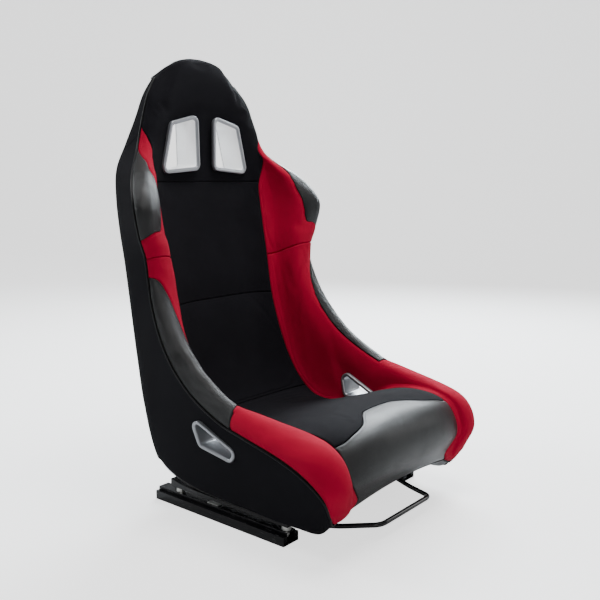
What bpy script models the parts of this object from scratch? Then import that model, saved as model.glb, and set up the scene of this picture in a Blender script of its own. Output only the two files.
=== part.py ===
"""Fixed-back bucket racing seat on two slide rails with a lift-to-release bar.

Frame: +Z up, the sitter looks towards -Y, X = 0 is the plane of symmetry,
Z = 0 is the floor that the lower rails are bolted to.  Metres throughout.

The seat body is lofted.  Every station of LOFT holds the control points of one
cross-section, from the front edge of the cushion, round the hip, up to the top
of the head.  Between an inner surface (what the sitter touches) and an outer
surface (sides and back) lie three layers: pads, laminate shell and outer trim.
"""
import math

import bmesh
import bpy
import numpy as np
from mathutils import Matrix, Vector

# ---------------------------------------------------------------- driving sizes
SEAT_WIDTH = 0.576          # over the shoulder wings
SEAT_HEIGHT = 0.912         # bottom of the shell to the top of the head
SEAT_DEPTH = 0.648          # front of the thigh bolsters to the back of the shell
SHELL_BOTTOM_Z = 0.045      # underside of the shell above the floor
GAP = 0.0003                # clearance between solids that touch

COVER_THICKNESS = 0.003     # padded trim on the outside of the shell
SHELL_THICKNESS = 0.005     # laminate

SLOT_FLANGE = 0.009         # visible width of a harness slot's frame
LAP_FLANGE = 0.008
BEZEL_PLATE = 0.003         # how far a bezel stands proud
BEZEL_WALL = 0.002          # wall of the sleeve through the hole
BEZEL_RADIUS = 0.016        # corner radius of a bezel's outline

RAIL_LENGTH = 0.365
RAIL_WIDTH = 0.044          # lower rail
RAIL_HEIGHT = 0.0187
RAIL_SHEET = 0.002
UPPER_RAIL_WIDTH = 0.026
UPPER_RAIL_TOP = 0.026      # top face of the upper rail above the floor
SLIDE_TRAVEL = 0.080        # each way from the middle

BOLT_FRONT_Y = -0.171
BOLT_PITCH = 0.297          # front stud to rear stud
STUD_RADIUS = 0.004         # M8
COLLAR_RADIUS = 0.010
BAR_WIDTH = 0.030           # mounting bar between the shell's bottom and the studs
BAR_BOTTOM = 0.0375         # underside of the bar above the floor

PIVOT_Y = 0.020             # release lever pivot
PIVOT_Z = 0.034
PIN_RADIUS = 0.003
LEVER_SHEET = 0.003
HANDLE_RADIUS = 0.005
LATCH_PITCH = 0.010         # slots in the lower rail's lip

ROLLER_LENGTH = 0.032
CAGE_SHEET = 0.0012

# ------------------------------------------------------------------ loft table
# Millimetres at the nominal size.  One row per station:
#   C  centre of the inner surface (y, z)      P  panel edge (x, y, z)
#   K  crest of the bolster (x, y, z)          O  outer seam (x, y, z)
#   B  sharp corner of the outer surface       U  outer surface behind P
#   R  centre of the outer surface (y, z)
TABLE_WIDTH = 0.576
TABLE_HEIGHT = 0.912
TABLE_DEPTH = 0.648
LOFT = [
    # C            P                 K                 O                 B                 U                R
    ((-306, 108), (164, -304, 108), (220, -312, 104), (240, -298, 92), (214, -282, 60), (185, -284, 78), (-288, 94)),
    ((-326, 158), (197, -312, 150), (226, -328, 156), (262, -298, 131), (226, -258, 33), (195, -256, 56), (-262, 84)),
    ((-296, 220), (200, -284, 203), (228, -300, 207), (274, -264, 166), (238, -210, 32), (200, -222, 48), (-225, 82)),
    ((-225, 231), (200, -220, 222), (232, -235, 231), (276, -205, 190), (242, -150, 30), (200, -160, 46), (-165, 80)),
    ((-130, 212), (208, -130, 208), (243, -135, 249), (277, -120, 212), (242, -80, 30), (200, -85, 46), (-90, 80)),
    ((-40, 186), (213, -45, 158), (248, -68, 266), (276, -58, 228), (242, -5, 30), (200, -8, 46), (-10, 80)),
    ((38, 168), (213, 35, 150), (243, 2, 302), (275, 12, 262), (242, 58, 31), (200, 54, 47), (52, 80)),
    ((98, 170), (205, 92, 160), (239, 42, 333), (275, 58, 300), (243, 115, 40), (200, 110, 55), (110, 82)),
    ((142, 198), (190, 130, 205), (236, 74, 366), (274, 90, 338), (244, 176, 72), (192, 174, 84), (174, 92)),
    ((172, 260), (176, 156, 268), (230, 103, 405), (270, 118, 380), (252, 211, 170), (180, 208, 165), (208, 165)),
    ((192, 340), (165, 177, 345), (224, 126, 448), (265, 142, 432), (250, 235, 285), (172, 237, 280), (240, 280)),
    ((212, 425), (162, 195, 420), (221, 138, 490), (260, 157, 482), (249, 254, 400), (168, 262, 400), (266, 400)),
    ((231, 510), (165, 212, 510), (228, 139, 535), (264, 160, 530), (245, 275, 505), (168, 282, 505), (287, 505)),
    ((245, 580), (167, 226, 580), (251, 137, 580), (280, 158, 574), (243, 290, 580), (166, 296, 580), (301, 580)),
    ((255, 650), (168, 238, 650), (262, 136, 636), (289, 160, 634), (237, 305, 650), (162, 306, 650), (311, 650)),
    ((261, 712), (165, 242, 710), (236, 172, 690), (262, 196, 690), (224, 316, 712), (155, 311, 712), (316, 712)),
    ((262, 780), (145, 250, 772), (183, 236, 748), (201, 252, 750), (195, 314, 765), (142, 312, 772), (317, 775)),
    ((260, 848), (114, 254, 838), (160, 250, 812), (173, 266, 814), (166, 311, 818), (114, 310, 834), (314, 842)),
    ((260, 915), (88, 258, 902), (143, 258, 866), (152, 270, 868), (146, 303, 870), (88, 306, 896), (309, 910)),
    ((268, 958), (60, 268, 951), (110, 272, 912), (118, 282, 914), (114, 297, 914), (60, 295, 949), (296, 956)),
]
STATIONS = len(LOFT) - 1

# Stations where one panel ends and the next begins, and the lateral grid.
NOSE_END = 2.5
THIGH_END = 5.0
LAP_PANEL_END = 6.5
CUSHION_END = 7.5
BACK_COVER_START = 8.0
WAIST = 11.0
WING_START = 13.0
HEAD_START = 14.5
SHOULDER_TOP = 16.0
PANEL_EDGE = 0.45           # share of the half section up to the panel edge P
SIDE_EDGE = 0.59            # where back trim meets side trim
CREST_EDGE = 0.86           # inner edge of the leather patches
GRID_S = [0.5 * i for i in range(2 * STATIONS + 1)]
GRID_V = [0.0, 0.15, 0.30, PANEL_EDGE, 0.52, SIDE_EDGE, 0.73, CREST_EDGE, 1.0]

# Harness slot frame, outer corners (x, z), and the lap slot's (y, z), nominal.
SLOT_CORNERS = [(0.024, 0.833), (0.107, 0.812), (0.137, 0.697), (0.021, 0.707)]
LAP_CORNERS = [(0.027, 0.234), (0.006, 0.166), (-0.080, 0.150), (-0.101, 0.177)]
LAP_TILT = 0.14             # sideways lean of the lap slot's frames


def scaled(x, y, z):
    """Nominal place in the seat body to its place at the driving sizes."""
    return (x * SEAT_WIDTH / TABLE_WIDTH,
            y * SEAT_DEPTH / TABLE_DEPTH,
            SHELL_BOTTOM_Z + (z - 0.045) * SEAT_HEIGHT / TABLE_HEIGHT)


RAIL_X = scaled(0.2115, 0, 0)[0]        # the rails sit under the shell's sides


# ------------------------------------------------------------------ the surface
def loft_columns():
    """The seven guide curves as arrays of scaled points, one row per station."""
    columns = []
    for k in range(7):
        rows = []
        for row in LOFT:
            p = row[k]
            p = (0, *p) if len(p) == 2 else p
            rows.append(scaled(*(0.001 * value for value in p)))
        columns.append(np.array(rows))
    return columns


GUIDES = loft_columns()


def along(points, s):
    """Catmull-Rom curve through the stations, read at the parameters s."""
    s = np.asarray(s, float)
    i = np.clip(np.floor(s).astype(int), 0, STATIONS - 1)
    t = (s - i)[..., None]
    first = 2 * points[0] - points[1]
    last = 2 * points[-1] - points[-2]
    p = np.vstack([first, points, last])
    a, b, c, d = p[i], p[i + 1], p[i + 2], p[i + 3]
    return 0.5 * (2 * b + (c - a) * t + (2 * a - 5 * b + 4 * c - d) * t**2
                  + (3 * b - a - 3 * c + d) * t**3)


def inner_surface(s, v):
    """The sitter's side: a flat-bottomed dish to P, then an S up to the crest K."""
    c, p, k = (along(GUIDES[n], s) for n in (0, 1, 2))
    t = np.clip(v / PANEL_EDGE, 0, 1)[..., None]
    dish = c + (p - c) * np.concatenate([t, t**4, t**4], -1)
    t = np.clip((v - PANEL_EDGE) / (1 - PANEL_EDGE), 0, 1)[..., None]
    swell = 0.11 * np.sin(2 * math.pi * t) * np.clip(SHOULDER_TOP - s, 0, 1)[..., None]
    wall = p + (k - p) * np.concatenate([t + swell, t - swell, t - swell], -1)
    return np.where((v < PANEL_EDGE)[..., None], dish, wall)


def outer_surface(s, v):
    """The outside: flat from R to U, then round the corner B to the seam O."""
    o, b, u, r = (along(GUIDES[n], s) for n in (3, 4, 5, 6))
    t = np.clip(v / PANEL_EDGE, 0, 1)[..., None]
    flat = r + (u - r) * np.concatenate([t, t**2, t**2], -1)
    t = np.clip((v - PANEL_EDGE) / (1 - PANEL_EDGE), 0, 1)[..., None]
    power = (6.0 + 2.0 * np.clip(9 - s, 0, 1))[..., None]
    side = b + (u - b) * (1 - t)**power + (o - b) * t**1.5
    return np.where((v < PANEL_EDGE)[..., None], flat, side)


def body_point(s, v, depth, from_inner=False):
    """A point on the line from the outer surface to the inner one.

    depth is measured from the outer surface, or from the inner one.
    Negative v is the other side of the seat.
    """
    s, v = np.broadcast_arrays(np.asarray(s, float), np.asarray(v, float))
    inner = inner_surface(s, np.abs(v))
    outer = outer_surface(s, np.abs(v))
    line = inner - outer
    length = np.linalg.norm(line, axis=-1, keepdims=True)
    start = inner if from_inner else outer
    point = start + line / length * (-depth if from_inner else depth)
    point[..., 0] *= np.where(v < 0, -1.0, 1.0)
    return point


# --------------------------------------------------------------- basic builders
def material(name, colour, roughness, metallic=0.0):
    """A Principled material, made once per name."""
    found = bpy.data.materials.get(name)
    if found:
        return found
    made = bpy.data.materials.new(name)
    made.use_nodes = True
    shader = made.node_tree.nodes["Principled BSDF"]
    shader.inputs["Base Color"].default_value = (*colour, 1.0)
    shader.inputs["Roughness"].default_value = roughness
    shader.inputs["Metallic"].default_value = metallic
    return made


BLACK_FABRIC = ("black_fabric", (0.018, 0.018, 0.024), 0.85)
RED_FABRIC = ("red_fabric", (0.45, 0.015, 0.03), 0.8)
BLACK_LEATHER = ("black_leather", (0.015, 0.015, 0.017), 0.35)
LAMINATE = ("laminate", (0.02, 0.02, 0.02), 0.5)
SILVER_PLASTIC = ("silver_plastic", (0.62, 0.63, 0.65), 0.35, 0.7)
BLACK_PAINT = ("black_paint", (0.01, 0.01, 0.012), 0.25)
ZINC = ("zinc", (0.7, 0.7, 0.68), 0.35, 1.0)
STEEL = ("steel", (0.5, 0.5, 0.52), 0.4, 1.0)


def finish(name, mesh, look, smooth=None):
    """Put a mesh into the scene as a named object with its material."""
    mesh.materials.append(material(*look))
    made = bpy.data.objects.new(name, mesh)
    bpy.context.collection.objects.link(made)
    if smooth:
        mesh.shade_smooth()
        mesh.set_sharp_from_angle(angle=math.radians(smooth))
    return made


def from_bmesh(name, bm, look, smooth=None):
    """Turn every face outwards and make the object."""
    bmesh.ops.recalc_face_normals(bm, faces=bm.faces)
    mesh = bpy.data.meshes.new(name)
    bm.to_mesh(mesh)
    bm.free()
    return finish(name, mesh, look, smooth)


def set_back(s, v, push_s, push_v, depth, from_inner):
    """Points of a layer, moved over it by the clearance where push is not zero."""
    step = 0.01
    start = body_point(s, v, depth, from_inner)

    def share(ds, dv):
        there = body_point(np.clip(s + ds, 0, STATIONS), np.clip(v + dv, -1, 1), depth, from_inner)
        return GAP * step / np.maximum(np.linalg.norm(there - start, axis=-1), 1e-6)

    moved_s = np.clip(s + push_s * share(push_s * step, 0 * v), 0, STATIONS)
    moved_v = np.clip(v + push_v * share(0 * s, push_v * step), -1, 1)
    return body_point(np.where(push_s != 0, moved_s, s), np.where(push_v != 0, moved_v, v),
                      depth, from_inner)


def panel(name, inside, low, high, look, from_inner):
    """One closed layer of the seat body over the grid cells that inside() picks.

    The layer runs from depth low to depth high.  Its edges stand back from
    the neighbouring panels by half the clearance.
    """
    grid_v = [-v for v in GRID_V[:0:-1]] + GRID_V
    rows, cols = len(GRID_S), len(grid_v)
    cells = np.zeros((rows + 1, cols + 1), bool)
    for i in range(rows - 1):
        for j in range(cols - 1):
            s = 0.5 * (GRID_S[i] + GRID_S[i + 1])
            v = 0.5 * (grid_v[j] + grid_v[j + 1])
            cells[i + 1, j + 1] = inside(s, v)
    used = cells[:-1, :-1] | cells[1:, :-1] | cells[:-1, 1:] | cells[1:, 1:]
    count = cells.astype(int)
    push_s = np.sign(count[1:, 1:] + count[1:, :-1] - count[:-1, 1:] - count[:-1, :-1])
    push_v = np.sign(count[1:, 1:] - count[1:, :-1] + count[:-1, 1:] - count[:-1, :-1])
    s, v = np.meshgrid(GRID_S, grid_v, indexing="ij")
    bottom = set_back(s, v, push_s, push_v, low, False)
    top = set_back(s, v, push_s, push_v, high, from_inner)
    bm = bmesh.new()
    vertex = {}
    for i, j in zip(*np.nonzero(used)):
        vertex[i, j, 0] = bm.verts.new(bottom[i, j])
        vertex[i, j, 1] = bm.verts.new(top[i, j])
    for i in range(rows - 1):
        for j in range(cols - 1):
            if not cells[i + 1, j + 1]:
                continue
            ring = [(i, j), (i + 1, j), (i + 1, j + 1), (i, j + 1)]
            turn = 0 if grid_v[j] >= 0 else 1
            for layer in (0, 1):
                q = [vertex[(*corner, layer)] for corner in ring[turn:] + ring[:turn]]
                bm.faces.new((q[0], q[1], q[2]))
                bm.faces.new((q[0], q[2], q[3]))
            sides = [((i, j), (i + 1, j), cells[i + 1, j]), ((i, j + 1), (i + 1, j + 1), cells[i + 1, j + 2]),
                     ((i, j), (i, j + 1), cells[i, j + 1]), ((i + 1, j), (i + 1, j + 1), cells[i + 2, j + 1])]
            for a, b, neighbour in sides:
                if not neighbour:
                    bm.faces.new((vertex[(*a, 0)], vertex[(*b, 0)], vertex[(*b, 1)]))
                    bm.faces.new((vertex[(*a, 0)], vertex[(*b, 1)], vertex[(*a, 1)]))
    return from_bmesh(name, bm, look, smooth=40)


def prism(name, outline, place, look, smooth=None):
    """Extrude a closed 2-D outline; place(p, end) gives the 3-D point for end 0 or 1."""
    bm = bmesh.new()
    ends = [[bm.verts.new(place(p, end)) for p in outline] for end in (0, 1)]
    bm.faces.new(ends[0])
    bm.faces.new(ends[1][::-1])
    for i in range(len(outline)):
        j = (i + 1) % len(outline)
        bm.faces.new((ends[0][i], ends[0][j], ends[1][j], ends[1][i]))
    return from_bmesh(name, bm, look, smooth)


def box(name, low, high, look):
    """A block between two corners."""
    outline = [(low[0], low[1]), (high[0], low[1]), (high[0], high[1]), (low[0], high[1])]
    return prism(name, outline, lambda p, end: (*p, high[2] if end else low[2]), look)


def turned(name, profile, centre, axis, look, sides=20):
    """A turned piece: (radius, height) pairs about an axis 'X' or 'Z' through centre."""
    bm = bmesh.new()
    rings = []
    for radius, height in profile:
        ring = []
        for k in range(sides):
            angle = 2 * math.pi * (k + 0.5) / sides
            a, b = radius * math.cos(angle), radius * math.sin(angle)
            offset = (height, a, b) if axis == "X" else (a, b, height)
            ring.append(bm.verts.new(Vector(centre) + Vector(offset)))
        rings.append(ring)
    bm.faces.new(rings[0])
    bm.faces.new(rings[-1])
    for low, high in zip(rings[:-1], rings[1:]):
        for k in range(sides):
            n = (k + 1) % sides
            bm.faces.new((low[k], low[n], high[n], high[k]))
    return from_bmesh(name, bm, look, smooth=40)


def cut(target, cutter):
    """Boolean difference; the cutter stays as a hidden guide."""
    cutter.hide_render = True
    cutter.display_type = "WIRE"
    modifier = target.modifiers.new("cut", "BOOLEAN")
    modifier.object = cutter
    modifier.operation = "DIFFERENCE"
    modifier.solver = "EXACT"


def side_name(sign):
    """left is the sitter's left, +X; right is -X."""
    return "left" if sign > 0 else "right"


# ---------------------------------------------------------- slots and bezels
def rounded_outline(corners, inset, radius, arc=4):
    """The outline of a convex polygon moved in by inset, its corners rounded."""
    points = [Vector(c) for c in corners]
    count = len(points)
    area = sum(points[i].cross(points[(i + 1) % count]) for i in range(count))
    turn = 1 if area > 0 else -1
    moved = []
    for i in range(count):
        before = (points[i] - points[i - 1]).normalized()
        after = (points[(i + 1) % count] - points[i]).normalized()
        inward = Vector((-before.y - after.y, before.x + after.x)) * turn
        inward.normalize()
        half = math.sqrt((1 + before.dot(after)) / 2)
        moved.append(points[i] + inward * inset / half)
    outline = []
    for i in range(count):
        corner = moved[i]
        before = (moved[i - 1] - corner).normalized()
        after = (moved[(i + 1) % count] - corner).normalized()
        half_angle = before.angle(after) / 2
        reach = radius / math.tan(half_angle)
        centre = corner + (before + after).normalized() * radius / math.sin(half_angle)
        start = corner + before * reach - centre
        swing = (math.pi - 2 * half_angle) * turn
        for k in range(arc + 1):
            angle = swing * k / arc
            outline.append(centre + Vector((start.x * math.cos(angle) - start.y * math.sin(angle),
                                            start.x * math.sin(angle) + start.y * math.cos(angle))))
    return outline


def bezel(name, corners, flange, face, back, deep, place, look):
    """A frame with a sleeve.

    face, back and deep are the levels of the flange's front, of its back and of
    the sleeve's end; place(p, level) gives the 3-D point.
    """
    bevel = 0.25 * abs(back - face)
    first = face + bevel * (1 if back > face else -1)
    sizes = [(0.0, back), (0.0, first), (bevel, face), (flange, face), (flange, deep),
             (flange - BEZEL_WALL, deep), (flange - BEZEL_WALL, back)]
    bm = bmesh.new()
    loops = []
    for inset, level in sizes:
        radius = max(BEZEL_RADIUS - inset, 0.004)
        loops.append([bm.verts.new(place(p, level)) for p in rounded_outline(corners, inset, radius)])
    for a, b in zip(loops, loops[1:] + loops[:1]):
        for i in range(len(a)):
            j = (i + 1) % len(a)
            bm.faces.new((a[i], a[j], b[j], b[i]))
    return from_bmesh(name, bm, look, smooth=40)


def hole_cutter(name, corners, flange, place, low, high):
    """The through hole that a bezel's sleeve fits, with the clearance round it."""
    inset = flange - BEZEL_WALL - GAP
    outline = rounded_outline(corners, inset, max(BEZEL_RADIUS - inset, 0.004))
    return prism(name, outline, lambda p, end: place(p, high if end else low), LAMINATE)


def surface_level(points, axis, lowest):
    """The extreme coordinate of the sampled surface, for a flat flange to clear it."""
    return points[:, axis].min() if lowest else points[:, axis].max()


def near(points, corners, axes):
    """The sampled points that lie behind the frame's outline, with a margin."""
    low = np.min(corners, axis=0) - 0.004
    high = np.max(corners, axis=0) + 0.004
    picked = points[:, axes]
    return points[np.all((picked > low) & (picked < high), axis=1)]


def sampled(surface_from_inner, low=0.0):
    """Dense points of the inner or outer surface of one half, from v = low outwards."""
    s, v = np.meshgrid(np.linspace(0, STATIONS, 381), np.linspace(low, 1, 101), indexing="ij")
    return body_point(s, v, 0.0, surface_from_inner).reshape(-1, 3)


# ------------------------------------------------------------------ upholstery
def make_body():
    """Pads, leather patches, shell and outer trim; returns the pieces by name."""
    floor = COVER_THICKNESS + SHELL_THICKNESS + 2 * GAP
    made = {}

    def pad(name, inside, look):
        made[name] = panel(name, inside, floor, 0.0, look, True)

    pad("cushion_nose", lambda s, v: s < NOSE_END and abs(v) < PANEL_EDGE, BLACK_LEATHER)
    pad("seat_cushion", lambda s, v: NOSE_END < s < CUSHION_END and abs(v) < PANEL_EDGE, BLACK_FABRIC)
    pad("lower_back_pad", lambda s, v: CUSHION_END < s < WAIST and abs(v) < PANEL_EDGE, BLACK_FABRIC)
    pad("upper_back_pad", lambda s, v: WAIST < s < HEAD_START and abs(v) < PANEL_EDGE, BLACK_FABRIC)
    pad("headrest_pad", lambda s, v: s > SHOULDER_TOP or (s > HEAD_START and abs(v) < PANEL_EDGE),
        BLACK_FABRIC)
    for sign in (1, -1):
        side = side_name(sign)
        pad(f"thigh_bolster_{side}",
            lambda s, v: (s < THIGH_END and sign * v > PANEL_EDGE)
            or (s < LAP_PANEL_END and PANEL_EDGE < sign * v < CREST_EDGE), RED_FABRIC)
        pad(f"hip_bolster_{side}",
            lambda s, v: LAP_PANEL_END < s < WAIST and PANEL_EDGE < sign * v < CREST_EDGE, RED_FABRIC)
        pad(f"hip_patch_{side}",
            lambda s, v: THIGH_END < s < WAIST and sign * v > CREST_EDGE, BLACK_LEATHER)
        pad(f"waist_bolster_{side}",
            lambda s, v: WAIST < s < WING_START and sign * v > PANEL_EDGE, RED_FABRIC)
        pad(f"wing_bolster_{side}",
            lambda s, v: WING_START < s < SHOULDER_TOP and PANEL_EDGE < sign * v < CREST_EDGE, RED_FABRIC)
        pad(f"shoulder_patch_{side}",
            lambda s, v: WING_START < s < SHOULDER_TOP and sign * v > CREST_EDGE, BLACK_LEATHER)
        made[f"side_cover_{side}"] = panel(
            f"side_cover_{side}", lambda s, v: s < SHOULDER_TOP and sign * v > SIDE_EDGE,
            0.0, COVER_THICKNESS, BLACK_FABRIC, False)
    made["back_cover"] = panel(
        "back_cover", lambda s, v: s > SHOULDER_TOP or (s > BACK_COVER_START and abs(v) < SIDE_EDGE),
        0.0, COVER_THICKNESS, BLACK_FABRIC, False)
    made["laminate_shell"] = panel(
        "laminate_shell", lambda s, v: True, COVER_THICKNESS + GAP,
        COVER_THICKNESS + GAP + SHELL_THICKNESS, LAMINATE, False)
    return made


def make_slots(body):
    """Cut the harness and lap belt slots and line each with an inner and an outer frame."""
    inside, outside = sampled(True), sampled(False)
    slot = [(scaled(x, 0, z)[0], scaled(x, 0, z)[2]) for x, z in SLOT_CORNERS]
    lap = [scaled(0, y, z)[1:] for y, z in LAP_CORNERS]
    front = surface_level(near(inside, slot, [0, 2]), 1, True) - GAP
    rear = surface_level(near(outside, slot, [0, 2]), 1, False) + GAP
    lap_z = np.mean(lap, axis=0)[1]
    inside = sampled(True, PANEL_EDGE + 0.05)
    for points in (inside, outside):
        points[:, 0] -= LAP_TILT * (points[:, 2] - lap_z)
    lap_in = surface_level(near(inside, lap, [1, 2]), 0, True) - GAP
    lap_out = surface_level(near(outside, lap, [1, 2]), 0, False) + GAP
    for sign in (1, -1):
        side = side_name(sign)

        def on_back(p, level):
            return (sign * p[0], level, p[1])

        def on_side(p, level):
            return (sign * (level + LAP_TILT * (p[1] - lap_z)), p[0], p[1])

        middle = 0.5 * (front + rear)
        bezel(f"harness_bezel_front_{side}", slot, SLOT_FLANGE, front - BEZEL_PLATE, front,
              middle - GAP / 2, on_back, SILVER_PLASTIC)
        bezel(f"harness_bezel_rear_{side}", slot, SLOT_FLANGE, rear + BEZEL_PLATE, rear,
              middle + GAP / 2, on_back, SILVER_PLASTIC)
        hole = hole_cutter(f"harness_cut_{side}", slot, SLOT_FLANGE, on_back, front - 0.05, rear + 0.05)
        for name in ("headrest_pad", "laminate_shell", "back_cover"):
            cut(body[name], hole)
        middle = 0.5 * (lap_in + lap_out)
        bezel(f"lap_bezel_inner_{side}", lap, LAP_FLANGE, lap_in - BEZEL_PLATE, lap_in,
              middle - GAP / 2, on_side, SILVER_PLASTIC)
        bezel(f"lap_bezel_outer_{side}", lap, LAP_FLANGE, lap_out + BEZEL_PLATE, lap_out,
              middle + GAP / 2, on_side, SILVER_PLASTIC)
        hole = hole_cutter(f"lap_cut_{side}", lap, LAP_FLANGE, on_side, lap_in - 0.03, lap_out + 0.05)
        for name in (f"thigh_bolster_{side}", f"hip_patch_{side}", "seat_cushion", "laminate_shell",
                     f"side_cover_{side}"):
            cut(body[name], hole)
        relief = prism(f"lap_relief_{side}", rounded_outline(lap, -0.001, BEZEL_RADIUS + 0.001),
                       lambda p, end: on_side(p, lap_in - (0 if end else BEZEL_PLATE + 0.001)), LAMINATE)
        cut(body["seat_cushion"], relief)
        cut(body[f"thigh_bolster_{side}"], relief)


# ------------------------------------------------------------ rails and fixings
def mirrored(points, sign, centre):
    """Section points (across, z) about a rail's middle to world x, z.

    across grows towards the outside of the seat.
    """
    return [(sign * (centre + across), z) for across, z in points]


def make_rails():
    """Lower and upper rails, rolled sections that hook into one another."""
    t = RAIL_SHEET
    half = RAIL_WIDTH / 2
    lip = half - 0.0080                     # inner face of the lower rail's lips
    hook = RAIL_HEIGHT - 0.0060             # how low the lips turn down
    lower = [(-half, 0), (half, 0), (half, RAIL_HEIGHT), (lip, RAIL_HEIGHT), (lip, hook),
             (lip + 0.0018, hook), (lip + 0.0018, RAIL_HEIGHT - t), (half - t, RAIL_HEIGHT - t),
             (half - t, t)]
    lower += [(-a, z) for a, z in lower[:1:-1]]
    arm = UPPER_RAIL_WIDTH / 2
    foot = 0.0075                           # underside of the upper rail's feet
    edge = half - t - 0.0012                # outer face of the upturned feet
    top = UPPER_RAIL_TOP
    upper = [(arm, top), (arm, foot + t), (edge - t, foot + t), (edge - t, RAIL_HEIGHT - t - 0.0019),
             (edge, RAIL_HEIGHT - t - 0.0019), (edge, foot), (arm - t, foot), (arm - t, top - t)]
    upper += [(-a, z) for a, z in upper[::-1]]
    made = {}
    for sign in (1, -1):
        side = side_name(sign)

        def lengthwise(p, end):
            return (p[0], RAIL_LENGTH * (end - 0.5), p[1])

        for name, section in (("lower_rail", lower), ("upper_rail", upper)):
            name = f"{name}_{side}"
            made[name] = prism(name, mirrored(section, sign, RAIL_X), lengthwise, BLACK_PAINT)
    return made


def bar_outline():
    """Side view of a mounting bar (y, z): flat below, following the shell's underside above."""
    s, v = np.meshgrid(np.linspace(0, 9, 361), np.linspace(0, 1, 201), indexing="ij")
    under = body_point(s, v, COVER_THICKNESS).reshape(-1, 3)
    under = under[np.abs(under[:, 0] - RAIL_X) < BAR_WIDTH / 2 + 0.003]
    first, last = BOLT_FRONT_Y - 0.015, BOLT_FRONT_Y + BOLT_PITCH + 0.015
    count = 12
    step = (last - first) / count
    top = []
    for k in range(count + 1):
        y = first + step * k
        close = under[np.abs(under[:, 1] - y) < 1.3 * step]
        top.append((y, close[:, 2].min() - GAP))
    return [(last, BAR_BOTTOM), (first, BAR_BOTTOM)] + top


def make_fixings(rails):
    """Mounting bars under the shell, collared studs and their nuts."""
    bar_low = BAR_BOTTOM
    outline = bar_outline()
    for sign in (1, -1):
        side = side_name(sign)
        x = sign * RAIL_X
        prism(f"mounting_bar_{side}", outline,
              lambda p, end: (x + BAR_WIDTH * (end - 0.5), p[0], p[1]), BLACK_PAINT)
        for place, y in (("front", BOLT_FRONT_Y), ("rear", BOLT_FRONT_Y + BOLT_PITCH)):
            tip = UPPER_RAIL_TOP - 0.0145
            collar = UPPER_RAIL_TOP + GAP
            turned(f"collar_stud_{place}_{side}",
                   [(STUD_RADIUS, tip), (STUD_RADIUS, collar), (COLLAR_RADIUS, collar),
                    (COLLAR_RADIUS, bar_low - GAP)], (x, y, 0), "Z", ZINC, 16)
            hole = turned(f"stud_hole_{place}_{side}",
                          [(STUD_RADIUS + GAP, tip), (STUD_RADIUS + GAP, collar + 0.01)],
                          (x, y, 0), "Z", STEEL, 16)
            cut(rails[f"upper_rail_{side}"], hole)
            nut_top = UPPER_RAIL_TOP - RAIL_SHEET - GAP
            nut = turned(f"rail_nut_{place}_{side}", [(0.0072, nut_top - 0.0065), (0.0072, nut_top)],
                         (x, y, 0), "Z", ZINC, 6)
            bore = turned(f"nut_bore_{place}_{side}",
                          [(STUD_RADIUS + GAP, nut_top - 0.02), (STUD_RADIUS + GAP, nut_top + 0.01)],
                          (x, y, 0), "Z", STEEL, 16)
            cut(nut, bore)


def make_bearings():
    """Roller cages that run between the rails, each with two rollers."""
    radius = (0.0075 - RAIL_SHEET) / 2 - 0.00005
    axle_z = RAIL_SHEET + 0.00005 + radius
    reach = 0.075
    for sign in (1, -1):
        side = side_name(sign)
        x = sign * RAIL_X
        cage = box(f"roller_cage_{side}", (x - 0.0175, -reach - 0.012, axle_z - CAGE_SHEET / 2),
                   (x + 0.0175, reach + 0.012, axle_z + CAGE_SHEET / 2), ZINC)
        for place, y in (("front", -reach), ("rear", reach)):
            turned(f"roller_{place}_{side}", [(radius, -ROLLER_LENGTH / 2), (radius, ROLLER_LENGTH / 2)],
                   (x, y, axle_z), "X", STEEL, 16)
            window = box(f"roller_window_{place}_{side}",
                         (x - ROLLER_LENGTH / 2 - GAP, y - radius - GAP, 0),
                         (x + ROLLER_LENGTH / 2 + GAP, y + radius + GAP, 2 * axle_z), STEEL)
            cut(cage, window)


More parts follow.
